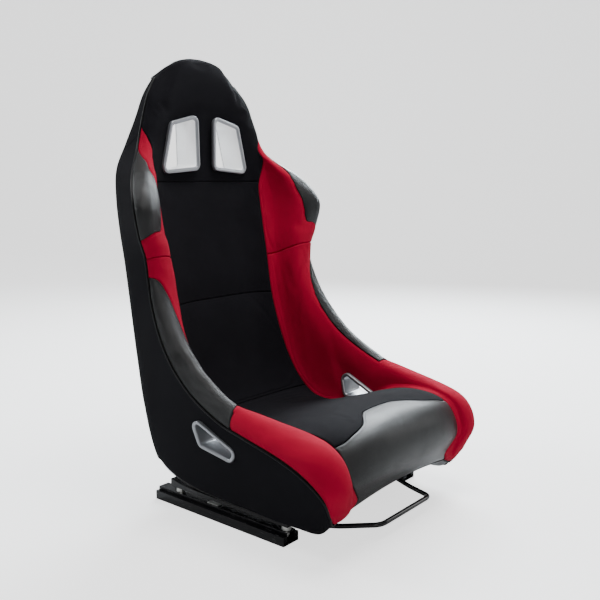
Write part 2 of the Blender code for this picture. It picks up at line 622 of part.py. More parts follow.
# ------------------------------------------------------------- release mechanism
def make_release(rails):
    """Brackets, pivot pins, springs, latch levers and the bar that joins them."""
    inner = RAIL_X - RAIL_WIDTH / 2         # inner face of the lower rail
    leg = inner - 0.0065                    # outer face of the bracket's upright
    sheet = LEVER_SHEET
    lever_face = leg - sheet - 0.0005       # outer face of the lever plate
    lip = RAIL_X - RAIL_WIDTH / 2 + 0.0080  # edge of the lip that the teeth reach
    tooth_y = [-0.055 + LATCH_PITCH * k for k in range(3)]
    for sign in (1, -1):
        side = side_name(sign)

        def lengthwise(p, end):
            return (p[0], PIVOT_Y + 0.015 * (2 * end - 1), p[1])

        section = [(leg, UPPER_RAIL_TOP + GAP), (RAIL_X + 0.010, UPPER_RAIL_TOP + GAP),
                   (RAIL_X + 0.010, UPPER_RAIL_TOP + GAP + 0.002), (leg, UPPER_RAIL_TOP + GAP + 0.002),
                   (leg, PIVOT_Z + 0.008), (leg - sheet, PIVOT_Z + 0.008),
                   (leg - sheet, UPPER_RAIL_TOP + GAP)]
        bracket = prism(f"latch_bracket_{side}", [(sign * a, z) for a, z in section], lengthwise, ZINC)
        low, high = sorted((sign * (leg + 0.0028), sign * (leg - 0.0125)))
        centre = (0, PIVOT_Y, PIVOT_Z)
        turned(f"pivot_pin_{side}", [(PIN_RADIUS, low), (PIN_RADIUS, high)], centre, "X", STEEL, 16)
        bore_radius = PIN_RADIUS + 0.0001
        bore = turned(f"pivot_bore_{side}", [(bore_radius, low - 0.01), (bore_radius, high + 0.01)],
                      centre, "X", STEEL, 16)
        cut(bracket, bore)
        outline = [(-0.078, 0.0130), (-0.050, 0.0130), (0.012, PIVOT_Z - 0.008), (0.032, PIVOT_Z - 0.008),
                   (0.036, PIVOT_Z), (0.032, PIVOT_Z + 0.006), (0.010, PIVOT_Z + 0.006), (-0.078, 0.0290)]
        lever = prism(f"latch_lever_{side}", outline,
                      lambda p, end: (sign * (lever_face - sheet * end), p[0], p[1]), ZINC)
        cut(lever, bore)
        comb_ends = sorted((sign * (lever_face - 0.001), sign * (lip - 0.001)))
        comb = box(f"comb_{side}", (comb_ends[0], tooth_y[0] - 0.005, RAIL_HEIGHT + 0.0030),
                   (comb_ends[1], tooth_y[-1] + 0.005, RAIL_HEIGHT + 0.0050), ZINC)
        join(lever, comb)
        tooth_ends = sorted((sign * (lip - 0.0055), sign * (lip - 0.0022)))
        for k, y in enumerate(tooth_y):
            tooth = box(f"tooth_{k}_{side}", (tooth_ends[0], y - 0.0014, RAIL_HEIGHT + 0.0005),
                        (tooth_ends[1], y + 0.0014, RAIL_HEIGHT + 0.0040), ZINC)
            join(lever, tooth)
        count = 2 * round(SLIDE_TRAVEL / LATCH_PITCH) + len(tooth_y)
        first = tooth_y[0] - SLIDE_TRAVEL
        slot_ends = sorted((sign * (lip - 0.0060), sign * (lip - 0.0019)))
        for k in range(count):
            y = first + LATCH_PITCH * k
            slot = box(f"latch_slot_{k}_{side}",
                       (slot_ends[0], y - 0.002, RAIL_HEIGHT - RAIL_SHEET - 0.001),
                       (slot_ends[1], y + 0.002, RAIL_HEIGHT + 0.001), STEEL)
            cut(rails[f"lower_rail_{side}"], slot)
        make_spring(f"latch_spring_{side}", sign * (lever_face - sheet - 0.0008), -sign)
    make_handle(lever_face - sheet)


def join(target, other):
    """Boolean union; the added piece stays as a hidden guide."""
    other.hide_render = True
    other.display_type = "WIRE"
    modifier = target.modifiers.new("join", "BOOLEAN")
    modifier.object = other
    modifier.operation = "UNION"
    modifier.solver = "EXACT"


def tube(name, points, radius, look, sides):
    """A round wire or tube along a smooth run of points, with closed ends."""
    points = [Vector(p) for p in points]
    bm = bmesh.new()
    rings = []
    heading = (points[1] - points[0]).normalized()
    across = heading.orthogonal().normalized()
    for i, point in enumerate(points):
        after = points[min(i + 1, len(points) - 1)] - points[max(i - 1, 0)]
        across = (across - after.normalized() * across.dot(after.normalized())).normalized()
        other = after.normalized().cross(across)
        ring = []
        for k in range(sides):
            angle = 2 * math.pi * k / sides
            ring.append(bm.verts.new(point + (across * math.cos(angle) + other * math.sin(angle)) * radius))
        rings.append(ring)
    bm.faces.new(rings[0])
    bm.faces.new(rings[-1])
    for low, high in zip(rings[:-1], rings[1:]):
        for k in range(sides):
            n = (k + 1) % sides
            bm.faces.new((low[k], low[n], high[n], high[k]))
    return from_bmesh(name, bm, look, smooth=50)


def make_spring(name, x, direction):
    """Torsion spring round the pivot pin: a helix of round wire."""
    turns, wire, radius, steps = 3, 0.0005, PIN_RADIUS + 0.0012, 12
    points = []
    for k in range(turns * steps + 1):
        angle = 2 * math.pi * k / steps
        points.append((x + direction * 0.0014 * k / steps, PIVOT_Y + radius * math.cos(angle),
                       PIVOT_Z + radius * math.sin(angle)))
    return tube(name, points, wire, STEEL, 8)


def make_handle(lever_inner):
    """The release bar: two arms that draw together and a raised cross piece."""
    start = lever_inner - HANDLE_RADIUS - GAP
    corners = [(start, -0.048, 0.0205), (start - 0.002, -0.110, 0.0205), (0.163, -0.166, 0.0205),
               (0.132, -0.232, 0.0210), (0.090, -0.307, 0.0310)]
    run = [Vector((x, y, z)) for x, y, z in corners]
    run += [Vector((-p.x, p.y, p.z)) for p in reversed(run)]
    return tube("release_bar", rounded_run(run, 0.016), HANDLE_RADIUS, BLACK_PAINT, 12)


def rounded_run(corners, reach, steps=4):
    """A polyline with each inner corner replaced by a quadratic bend."""
    points = [corners[0]]
    for a, b, c in zip(corners, corners[1:], corners[2:]):
        first = b + (a - b).normalized() * reach
        last = b + (c - b).normalized() * reach
        for k in range(steps + 1):
            t = k / steps
            points.append(first * (1 - t)**2 + b * (2 * t * (1 - t)) + last * t**2)
    points.append(corners[-1])
    return points


# ------------------------------------------------------------------ build order
for old in list(bpy.data.objects):
    bpy.data.objects.remove(old, do_unlink=True)
BODY = make_body()
make_slots(BODY)
RAILS = make_rails()
make_fixings(RAILS)
make_bearings()
make_release(RAILS)
# The frame's origin is the middle of the footprint.
SOLIDS = [item for item in bpy.data.objects if not item.hide_render]
ENDS = [vert.co.y for item in SOLIDS for vert in item.data.vertices]
CENTRE_Y = 0.5 * (min(ENDS) + max(ENDS))
for item in bpy.data.objects:
    item.data.transform(Matrix.Translation((0, -CENTRE_Y, 0)))
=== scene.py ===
# %% [markdown]
# # A bucket racing seat
# This lesson dresses a fixed-back racing seat.  The mechanical model comes first as a fixed
# frame: it says where every rail, stud and pad is.  Each step then makes one real piece of
# the seat as a surface worked out with numpy, gives it a finish built from nodes, and hangs
# it on the body that carries it.

# %% The fixed frame
import math

import bpy
import numpy as np
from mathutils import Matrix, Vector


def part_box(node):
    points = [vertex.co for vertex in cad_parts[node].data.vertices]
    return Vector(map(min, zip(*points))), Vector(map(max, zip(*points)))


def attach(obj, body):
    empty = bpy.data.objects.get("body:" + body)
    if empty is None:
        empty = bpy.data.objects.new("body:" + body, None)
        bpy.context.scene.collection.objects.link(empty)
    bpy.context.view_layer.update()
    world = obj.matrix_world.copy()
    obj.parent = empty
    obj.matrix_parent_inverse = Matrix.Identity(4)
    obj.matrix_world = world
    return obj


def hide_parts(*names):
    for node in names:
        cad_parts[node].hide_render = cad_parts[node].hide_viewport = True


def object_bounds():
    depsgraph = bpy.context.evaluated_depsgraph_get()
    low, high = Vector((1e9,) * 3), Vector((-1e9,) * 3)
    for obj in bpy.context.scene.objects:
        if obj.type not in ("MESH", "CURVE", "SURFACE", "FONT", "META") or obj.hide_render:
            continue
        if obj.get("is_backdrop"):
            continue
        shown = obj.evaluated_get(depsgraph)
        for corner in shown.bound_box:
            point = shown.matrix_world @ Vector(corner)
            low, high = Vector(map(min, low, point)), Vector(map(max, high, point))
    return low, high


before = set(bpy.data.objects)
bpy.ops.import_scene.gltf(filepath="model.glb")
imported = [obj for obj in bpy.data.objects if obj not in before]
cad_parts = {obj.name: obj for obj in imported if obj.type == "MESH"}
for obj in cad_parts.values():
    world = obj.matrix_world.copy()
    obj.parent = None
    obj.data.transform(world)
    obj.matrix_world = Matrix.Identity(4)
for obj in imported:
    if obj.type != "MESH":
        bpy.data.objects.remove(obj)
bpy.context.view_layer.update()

RAIL_LOW, RAIL_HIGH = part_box("lower_rail_left")
SHIFT = 0.5 * (RAIL_LOW.y + RAIL_HIGH.y)        # the rails' middle, where the seat's own Y starts
SIDES = {"left": 1.0, "right": -1.0}
MM = 0.001

# %% [markdown]
# ## Camera and studio
# The seat stands on a pale floor that curves up behind it into a wall, as in a studio.
# The viewer stands off its front right corner, a little above the cushion.

# %% Camera
AZIMUTH, ELEVATION = math.radians(-50.5), math.radians(8.8)
BACK = np.array([math.sin(AZIMUTH) * math.cos(ELEVATION), -math.cos(AZIMUTH) * math.cos(ELEVATION),
                 math.sin(ELEVATION)])
TARGET = np.array([0.0369, SHIFT, 0.4228])
DISTANCE = 1.7515
scene = bpy.context.scene
camera_data = bpy.data.cameras.new("view")
camera_data.lens = 47.52
camera_data.sensor_width = 36.0
camera = bpy.data.objects.new("view", camera_data)
scene.collection.objects.link(camera)
camera.location = TARGET + BACK * DISTANCE


def aim(thing, direction):
    """Turn a lamp or a camera so that it looks along a direction."""
    from mathutils import Vector
    thing.rotation_mode = "QUATERNION"
    thing.rotation_quaternion = Vector(direction).to_track_quat("-Z", "Y")


aim(camera, -BACK)
scene.camera = camera


# %% Lamps, sky and floor
def softbox(name, place, width, height, power, colour=(1.0, 1.0, 1.0)):
    """A rectangular lamp that looks at the middle of the seat."""
    lamp = bpy.data.lights.new(name, "AREA")
    lamp.shape = "RECTANGLE"
    lamp.size = width
    lamp.size_y = height
    lamp.energy = power
    lamp.color = colour
    made = bpy.data.objects.new(name, lamp)
    scene.collection.objects.link(made)
    made.location = place
    aim(made, np.array([0.0, 0.0, 0.45]) - np.array(place))


softbox("window", (2.2, 0.95, 1.95), 1.9, 1.5, 230.0, (0.88, 0.95, 1.0))
softbox("doorway", (-1.1, 2.3, 2.2), 0.9, 1.4, 60.0, (0.95, 0.98, 1.0))
softbox("ceiling", (0.2, -0.4, 2.8), 1.2, 1.2, 70.0)
softbox("front", (-2.4, -2.2, 1.5), 0.8, 1.0, 17.0)
softbox("right", (2.4, -1.6, 1.3), 0.6, 1.2, 16.0)
sky = bpy.data.worlds.new("sky")
sky.use_nodes = True
sky.node_tree.nodes["Background"].inputs["Color"].default_value = (0.96, 0.98, 1.0, 1.0)
sky_seen = sky.node_tree.nodes.new("ShaderNodeLightPath").outputs["Is Camera Ray"]
sky_strength = sky.node_tree.nodes.new("ShaderNodeMapRange")
sky_strength.inputs["To Min"].default_value = 0.25      # what lights the seat
sky_strength.inputs["To Max"].default_value = 1.9       # what shows behind the floor's edge
sky.node_tree.links.new(sky_seen, sky_strength.inputs["Value"])
sky.node_tree.links.new(sky_strength.outputs[0], sky.node_tree.nodes["Background"].inputs["Strength"])
scene.world = sky


# %% [markdown]
# ## From grids to meshes
# Almost everything on this seat is a sheet bent over the shell, so one helper turns a grid
# of points into a closed piece: a top, a bottom, and a rim that joins them.  Faces are
# numbered with whole arrays, and the sign of the volume says whether they point outwards.

# %% Mesh helpers
def quads(rows, cols, wrap_rows=False, wrap_cols=False):
    """Corner numbers of the quads of a grid whose points are stored row by row."""
    i = np.arange(rows if wrap_rows else rows - 1)[:, None]
    j = np.arange(cols if wrap_cols else cols - 1)[None, :]
    a = i * cols + j
    b = (i + 1) % rows * cols + j
    c = (i + 1) % rows * cols + (j + 1) % cols
    d = i * cols + (j + 1) % cols
    return np.stack(np.broadcast_arrays(a, b, c, d), -1).reshape(-1, 4)


def volume(points, faces):
    """Signed volume inside four-cornered faces: a third of the face areas dotted with place."""
    a, b, c, d = (points[faces[:, k]] for k in range(4))
    return np.sum(a * (np.cross(b, c) + np.cross(c, d))) / 6


def build(name, points, faces, look, uv=None, caps=(), smooth=True):
    """Make a mesh piece of quads and any end caps; uv holds one pair in metres per point."""
    points = np.asarray(points, float).reshape(-1, 3)
    if volume(points, faces) < 0:
        faces = faces[:, ::-1]
        caps = [cap[::-1] for cap in caps]
    mesh = bpy.data.meshes.new(name)
    mesh.from_pydata(points.tolist(), [], faces.tolist() + [list(map(int, cap)) for cap in caps])
    if uv is not None:
        corner = np.empty(len(mesh.loops), int)
        mesh.loops.foreach_get("vertex_index", corner)
        layer = mesh.uv_layers.new(name="cloth")
        layer.data.foreach_set("uv", np.asarray(uv, float).reshape(-1, 2)[corner].ravel())
    if smooth:
        mesh.shade_smooth()
        mesh.set_sharp_from_angle(angle=math.radians(50))
    mesh.materials.append(look)
    made = bpy.data.objects.new(name, mesh)
    scene.collection.objects.link(made)
    return made


def slab(name, top, bottom, look, uv):
    """Close two grids of the same size into one body, joined round their rims."""
    rows, cols = top.shape[:2]
    face = quads(rows, cols)
    number = np.arange(rows * cols).reshape(rows, cols)
    rim = np.concatenate([number[0, :-1], number[:-1, -1], number[-1, :0:-1], number[:0:-1, 0]])
    after = np.roll(rim, -1)
    side = np.stack([rim, after, after + rows * cols, rim + rows * cols], -1)
    points = np.concatenate([top.reshape(-1, 3), bottom.reshape(-1, 3)])
    return build(name, points, np.concatenate([face, face[:, ::-1] + rows * cols, side]), look,
                 np.concatenate([uv.reshape(-1, 2), uv.reshape(-1, 2)]))


def settle(piece, body, slot, *nodes):
    """Hang a piece on its body and let it stand for CAD nodes, which it hides; slot is not used."""
    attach(piece, body)
    if nodes:
        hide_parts(*nodes)
    return piece


# %% [markdown]
# ## The seat's skin
# Twenty cross-sections, from the front edge of the cushion round the hip to the top of the
# head, carry the same seven points each.  A Catmull-Rom curve runs through each point from
# section to section.  A place on the skin is then two numbers: s along the seat, and v from
# the middle (0) over the wall to the crest (1) and on over the roll to the outer seam (1.5).

# %% The sections
LOFT = [
    ((-306, 108), (164, -304, 108), (220, -312, 104), (240, -298, 92),
     (214, -282, 60), (185, -284, 78), (-288, 94)),
    ((-326, 158), (197, -312, 150), (226, -328, 156), (262, -298, 131),
     (226, -258, 33), (195, -256, 56), (-262, 84)),
    ((-296, 220), (200, -284, 203), (228, -300, 207), (274, -264, 166),
     (238, -210, 32), (200, -222, 48), (-225, 82)),
    ((-225, 231), (200, -220, 222), (232, -235, 231), (276, -205, 190),
     (242, -150, 30), (200, -160, 46), (-165, 80)),
    ((-130, 212), (208, -130, 208), (243, -135, 249), (277, -120, 212),
     (242, -80, 30), (200, -85, 46), (-90, 80)),
    ((-40, 186), (213, -45, 158), (248, -68, 266), (276, -58, 228),
     (242, -5, 30), (200, -8, 46), (-10, 80)),
    ((38, 168), (213, 35, 150), (243, 2, 302), (275, 12, 262), (242, 58, 31), (200, 54, 47), (52, 80)),
    ((98, 170), (205, 92, 160), (239, 42, 333), (275, 58, 300), (243, 115, 40), (200, 110, 55), (110, 82)),
    ((142, 198), (190, 130, 205), (236, 74, 366), (274, 90, 338),
     (244, 176, 72), (192, 174, 84), (174, 92)),
    ((172, 260), (176, 156, 268), (230, 103, 405), (270, 118, 380),
     (252, 211, 170), (180, 208, 165), (208, 165)),
    ((192, 340), (165, 177, 345), (224, 126, 448), (265, 142, 432),
     (250, 235, 285), (172, 237, 280), (240, 280)),
    ((212, 425), (162, 195, 420), (221, 138, 490), (260, 157, 482),
     (249, 254, 400), (168, 262, 400), (266, 400)),
    ((231, 510), (165, 212, 510), (228, 139, 535), (264, 160, 530),
     (245, 275, 505), (168, 282, 505), (287, 505)),
    ((245, 580), (167, 226, 580), (251, 137, 580), (280, 158, 574),
     (243, 290, 580), (166, 296, 580), (301, 580)),
    ((255, 650), (168, 238, 650), (262, 136, 636), (289, 160, 634),
     (237, 305, 650), (162, 306, 650), (311, 650)),
    ((261, 712), (165, 242, 710), (236, 172, 690), (262, 196, 690),
     (224, 316, 712), (155, 311, 712), (316, 712)),
    ((262, 780), (145, 250, 772), (183, 236, 748), (201, 252, 750),
     (195, 314, 765), (142, 312, 772), (317, 775)),
    ((260, 848), (114, 254, 838), (160, 250, 812), (173, 266, 814),
     (166, 311, 818), (114, 310, 834), (314, 842)),
    ((260, 915), (88, 258, 902), (143, 258, 866), (152, 270, 868),
     (146, 303, 870), (88, 306, 896), (309, 910)),
    ((268, 958), (60, 268, 951), (110, 272, 912), (118, 282, 914),
     (114, 297, 914), (60, 295, 949), (296, 956)),
]
STATIONS = len(LOFT) - 1
PANEL = 0.45            # v of the seam between the middle and the bolsters
ROLL = 0.5              # how far v and s run on over a rolled edge
HEAD = 18.8             # s where the front of the head starts to roll over
GUIDES = [np.array([((0, *row[k]) if len(row[k]) == 2 else row[k]) for row in LOFT], float) * MM
          + (0, SHIFT, 0) for k in range(7)]
print(len(LOFT), "sections of", len(GUIDES), "points")


def along(points, s):
    """Catmull-Rom: on each span, the cubic through its ends with slopes from their neighbours."""
    s = np.asarray(s, float)
    i = np.clip(np.floor(s).astype(int), 0, STATIONS - 1)
    t = (s - i)[..., None]
    p = np.vstack([2 * points[0] - points[1], points, 2 * points[-1] - points[-2]])
    a, b, c, d = p[i], p[i + 1], p[i + 2], p[i + 3]
    return 0.5 * (2 * b + (c - a) * t + (2 * a - 5 * b + 4 * c - d) * t**2 + (3 * b - a - 3 * c + d) * t**3)


def wall(s, v):
    """The sitter's side: a dish from the middle to the panel seam, then an S up to the crest."""
    c, p, k = (along(GUIDES[n], s) for n in (0, 1, 2))
    t = np.clip(v / PANEL, 0, 1)[..., None]
    dish = c + (p - c) * np.concatenate([t, t**4, t**4], -1)
    t = np.clip((v - PANEL) / (1 - PANEL), 0, 1)[..., None]
    swell = 0.11 * np.sin(2 * math.pi * t) * np.clip(16 - s, 0, 1)[..., None]
    rise = p + (k - p) * np.concatenate([t + swell, t - swell, t - swell], -1)
    return np.where((v < PANEL)[..., None], dish, rise)


def hull(s, v):
    """The outside: flat across the back or bottom, a tight corner, then straight to the seam."""
    s, v = np.broadcast_arrays(np.asarray(s, float), np.asarray(v, float))
    o, b, u, r = (along(GUIDES[n], s) for n in (3, 4, 5, 6))
    size = np.abs(v)
    t = np.clip(size / PANEL, 0, 1)[..., None]
    flat = r + (u - r) * np.concatenate([t, t**2, t**2], -1)
    t = np.clip((size - PANEL) / (1 - PANEL), 0, 1)[..., None]
    power = (6.0 + 2.0 * np.clip(9 - s, 0, 1))[..., None]
    side = b + (u - b) * (1 - t)**power + (o - b) * t**1.5
    point = np.where((size < PANEL)[..., None], flat, side)
    point[..., 0] *= np.where(v < 0, -1.0, 1.0)
    return point


# %% Rolled edges
def unit(vector):
    """Vectors of length one."""
    return vector / np.maximum(np.linalg.norm(vector, axis=-1, keepdims=True), 1e-9)


def hermite(p, q, m, n, t):
    """A cubic from p to q that leaves along m and arrives along n."""
    return ((2 * t**3 - 3 * t**2 + 1) * p + (t**3 - 2 * t**2 + t) * m
            + (3 * t**2 - 2 * t**3) * q + (t**3 - t**2) * n)


def section(s, v):
    """One half section: the wall, and past v = 1 the roll from the crest to the outer seam."""
    one = np.ones_like(s)
    crest, seam = wall(s, one), hull(s, one)
    size = 1.3 * np.linalg.norm(seam - crest, axis=-1, keepdims=True)
    leave = unit(crest - wall(s, 0.96 * one)) * size
    arrive = unit(hull(s, 0.95 * one) - seam) * size
    rolled = hermite(crest, seam, leave, arrive, np.clip((v - 1) / ROLL, 0, 1)[..., None])
    return np.where((v <= 1)[..., None], wall(s, np.minimum(v, 1)), rolled)


def skin(s, v):
    """The upholstery's surface; before s = 0 and past HEAD it rolls over to the outside."""
    s, v = np.broadcast_arrays(np.asarray(s, float), np.asarray(v, float))
    size, inside = np.abs(v), np.clip(s, 0, HEAD)
    base, end = section(inside, size), hull(inside, np.minimum(size, 1))
    step = np.where(s < 0, 0.05, -0.05)
    pull = 1.1 * np.linalg.norm(end - base, axis=-1, keepdims=True)
    leave = unit(base - section(inside + step, size)) * pull
    arrive = unit(hull(inside + step, np.minimum(size, 1)) - end) * pull
    past = np.clip(np.maximum(-s, s - HEAD) / ROLL, 0, 1)[..., None]
    point = np.where(past > 0, hermite(base, end, leave, arrive, past), base)
    point[..., 0] *= np.where(v < 0, -1.0, 1.0)
    return point


def facing(surface, s, v):
    """Normals: the cross product of the steps across and along the surface."""
    step = 0.012
    across = surface(s, v + step) - surface(s, v - step)
    lengthways = surface(s + step, v) - surface(s - step, v)
    return unit(np.cross(across, lengthways))


def smooth_curve(knots):
    """A function through a few (x, y) knots, flat beyond them, with rounded slopes between."""
    x, y = np.array(knots, float).T
    slope = np.gradient(y, x)
    slope[[0, -1]] = 0

    def curve(at):
        at = np.clip(at, x[0], x[-1])
        i = np.clip(np.searchsorted(x, at) - 1, 0, len(x) - 2)
        width = x[i + 1] - x[i]
        return hermite(y[i], y[i + 1], slope[i] * width, slope[i + 1] * width, (at - x[i]) / width)

    return curve


# %% [markdown]
# ## Finishes
# Cloth, leather, lacquer and plated steel are each a few nodes.  What several finishes share
# is built once as a node group that gives out colours and heights only: the knit of the
# cloth, the grain of the leather, and the dust and scuffs of anything hard.

# %% Node helpers
def link(tree, kind, inputs=(), **settings):
    """Add a node, set what it has, and plug in its inputs; a value or a socket goes in alike."""
    made = tree.nodes.new(kind)
    for key, value in settings.items():
        setattr(made, key, value)
    for key, value in dict(inputs).items():
        socket = made.inputs[key]
        if isinstance(value, bpy.types.NodeSocket):
            tree.links.new(value, socket)
        else:
            socket.default_value = value
    return made


def maths(tree, operation, a, b=0.0):
    """One sum on two numbers or sockets."""
    return link(tree, "ShaderNodeMath", {0: a, 1: b}, operation=operation).outputs[0]


def ramp(tree, factor, low, high):
    """A value stretched so that low gives 0 and high gives 1, clipped outside."""
    return link(tree, "ShaderNodeMapRange", {"Value": factor, "From Min": low, "From Max": high}).outputs[0]


def mixed(tree, factor, a, b):
    """Two colours blended by a factor."""
    made = link(tree, "ShaderNodeMix", data_type="RGBA")
    for key, value in ((0, factor), (6, a), (7, b)):
        if isinstance(value, bpy.types.NodeSocket):
            tree.links.new(value, made.inputs[key])
        else:
            made.inputs[key].default_value = value
    return made.outputs[2]


def group(name, inputs, outputs):
    """An empty node group with named sockets, and its two ends."""
    tree = bpy.data.node_groups.new(name, "ShaderNodeTree")
    for key, kind in inputs.items():
        tree.interface.new_socket(key, in_out="INPUT", socket_type=kind)
    for key, kind in outputs.items():
        tree.interface.new_socket(key, in_out="OUTPUT", socket_type=kind)
    return tree, tree.nodes.new("NodeGroupInput").outputs, tree.nodes.new("NodeGroupOutput").inputs


VECTOR, NUMBER, COLOUR = "NodeSocketVector", "NodeSocketFloat", "NodeSocketColor"


# %% The knit
def make_knit():
    """Rows of small V stitches: a wave across for the columns, a zigzag wave along for the loops.

    Slow noise shades the cloth as rubbing does, and fine noise stands for loose fibre.
    """
    tree, given, out = group("knit", {"Vector": VECTOR, "Colour": COLOUR, "Pitch": NUMBER},
                             {"Colour": COLOUR, "Roughness": NUMBER, "Height": NUMBER})
    place = link(tree, "ShaderNodeSeparateXYZ", {0: given["Vector"]})
    column = maths(tree, "DIVIDE", place.outputs[0], given["Pitch"])
    row = maths(tree, "DIVIDE", place.outputs[1], given["Pitch"])
    leg = maths(tree, "PINGPONG", column, 0.5)
    slant = maths(tree, "ADD", row, maths(tree, "MULTIPLY", leg, 1.6))
    loops = maths(tree, "ABSOLUTE", maths(tree, "SINE", maths(tree, "MULTIPLY", slant, math.pi)))
    ribs = maths(tree, "ABSOLUTE", maths(tree, "SINE", maths(tree, "MULTIPLY", column, 2 * math.pi)))
    yarn = maths(tree, "POWER", maths(tree, "MULTIPLY", loops, ribs), 0.6)
    fibre = link(tree, "ShaderNodeTexNoise", {"Vector": given["Vector"], "Scale": 1400.0, "Detail": 3.0})
    rubbed = link(tree, "ShaderNodeTexNoise", {"Vector": given["Vector"], "Scale": 14.0, "Detail": 4.0,
                                               "Roughness": 0.6})
    # The colour follows the yarn's height: painted shade in the gaps between the loops and painted light on
    # their tops, with the rubbed noise adding a real random tone.
    gap_shade_and_rubbing = maths(tree, "ADD", maths(tree, "MULTIPLY", yarn, 0.55),
                  maths(tree, "MULTIPLY", rubbed.outputs[0], 0.5))
    dark = mixed(tree, 0.55, given["Colour"], (0.0, 0.0, 0.0, 1.0))
    light = mixed(tree, 0.006, given["Colour"], (1.0, 1.0, 1.0, 1.0))
    tree.links.new(mixed(tree, ramp(tree, gap_shade_and_rubbing, 0.1, 0.85), dark, light), out["Colour"])
    dull = maths(tree, "ADD", 0.78, maths(tree, "MULTIPLY", rubbed.outputs[0], 0.2))
    tree.links.new(dull, out["Roughness"])
    tree.links.new(maths(tree, "ADD", yarn, maths(tree, "MULTIPLY", fibre.outputs[0], 0.5)), out["Height"])
    return tree


KNIT = make_knit()


# %% The grain
def make_grain():
    """Leather cells: distance to the edges of a crazed pattern, bent by noise, over soft creases."""
    tree, given, out = group("grain", {"Vector": VECTOR, "Colour": COLOUR, "Scale": NUMBER},
                             {"Colour": COLOUR, "Roughness": NUMBER, "Height": NUMBER})
    bend = link(tree, "ShaderNodeTexNoise", {"Vector": given["Vector"], "Scale": 90.0, "Detail": 2.0})
    shifted = link(tree, "ShaderNodeVectorMath", {0: bend.outputs["Color"], 1: (0.004, 0.004, 0.004)},
                   operation="MULTIPLY")
    place = link(tree, "ShaderNodeVectorMath", {0: given["Vector"], 1: shifted.outputs[0]}, operation="ADD")
    cells = link(tree, "ShaderNodeTexVoronoi", {"Vector": place.outputs[0], "Scale": given["Scale"]},
                 feature="DISTANCE_TO_EDGE")
    pebble = ramp(tree, cells.outputs["Distance"], 0.0, 0.16)
    crease = link(tree, "ShaderNodeTexNoise", {"Vector": given["Vector"], "Scale": 26.0, "Detail": 5.0,
                                               "Roughness": 0.62})
    worn = link(tree, "ShaderNodeTexNoise", {"Vector": given["Vector"], "Scale": 9.0, "Detail": 3.0})
    # The colour follows the cells' relief: painted shade in the grooves between the cells and painted light
    # on their tops.
    dark = mixed(tree, 0.6, given["Colour"], (0.0, 0.0, 0.0, 1.0))
    light = mixed(tree, 0.004, given["Colour"], (1.0, 1.0, 1.0, 1.0))
    tree.links.new(mixed(tree, pebble, dark, light), out["Colour"])
    gloss = maths(tree, "SUBTRACT", 0.34, maths(tree, "MULTIPLY", pebble, 0.08))
    tree.links.new(maths(tree, "ADD", gloss, maths(tree, "MULTIPLY", worn.outputs[0], 0.12)),
                   out["Roughness"])
    tree.links.new(maths(tree, "ADD", pebble, maths(tree, "MULTIPLY", crease.outputs[0], 0.5)), out["Height"])
    return tree


GRAIN = make_grain()


# %% The handling of hard parts
def make_handling():
    """Dust that lies where noise is high, and thin scuffs stretched along the piece."""
    tree, given, out = group("handling", {"Vector": VECTOR, "Colour": COLOUR, "Dust": NUMBER,
                                          "Gloss": NUMBER},
                             {"Colour": COLOUR, "Roughness": NUMBER, "Height": NUMBER})
    patchy = link(tree, "ShaderNodeTexNoise", {"Vector": given["Vector"], "Scale": 22.0, "Detail": 6.0,
                                               "Roughness": 0.65})
    long_way = link(tree, "ShaderNodeMapping", {"Vector": given["Vector"], "Scale": (240.0, 14.0, 240.0)})
    scuff = link(tree, "ShaderNodeTexNoise", {"Vector": long_way.outputs[0], "Scale": 3.0, "Detail": 4.0})
    peel = link(tree, "ShaderNodeTexNoise", {"Vector": given["Vector"], "Scale": 520.0, "Detail": 2.0})
    dusty = maths(tree, "MULTIPLY", ramp(tree, patchy.outputs[0], 0.45, 0.75), given["Dust"])
    marks = ramp(tree, scuff.outputs[0], 0.62, 0.72)
    grey = mixed(tree, dusty, given["Colour"], (0.32, 0.31, 0.30, 1.0))
    scuffed = mixed(tree, maths(tree, "MULTIPLY", marks, 0.12), grey, (0.5, 0.5, 0.5, 1.0))
    tree.links.new(scuffed, out["Colour"])
    rough = maths(tree, "ADD", given["Gloss"], maths(tree, "MULTIPLY", dusty, 0.8))
    tree.links.new(maths(tree, "ADD", rough, maths(tree, "MULTIPLY", marks, 0.12)), out["Roughness"])
    tree.links.new(peel.outputs[0], out["Height"])
    return tree


HANDLING = make_handling()
print("node groups:", ", ".join(tree.name for tree in (KNIT, GRAIN, HANDLING)))


# %% Materials
def finish(name, effect, colour, values, bump, place="Object", **shader_values):
    """A Principled material whose colour, roughness and bump come from one node group.

    bump is (strength, distance in metres); place is Object, or UV for what follows the cloth.
    """
    made = bpy.data.materials.new(name)
    made.use_nodes = True
    tree = made.node_tree
    shader = tree.nodes["Principled BSDF"]
    where = tree.nodes.new("ShaderNodeTexCoord").outputs[place]
    dressed = tree.nodes.new("ShaderNodeGroup")
    dressed.node_tree = effect
    tree.links.new(where, dressed.inputs["Vector"])
    dressed.inputs["Colour"].default_value = (*colour, 1.0)
    for key, value in values.items():
        dressed.inputs[key].default_value = value
    raised = link(tree, "ShaderNodeBump", {"Strength": bump[0], "Distance": bump[1],
                                           "Height": dressed.outputs["Height"]})
    tree.links.new(dressed.outputs["Colour"], shader.inputs["Base Color"])
    tree.links.new(dressed.outputs["Roughness"], shader.inputs["Roughness"])
    tree.links.new(raised.outputs[0], shader.inputs["Normal"])
    for key, value in shader_values.items():
        shader.inputs[key.replace("_", " ")].default_value = value
    return made


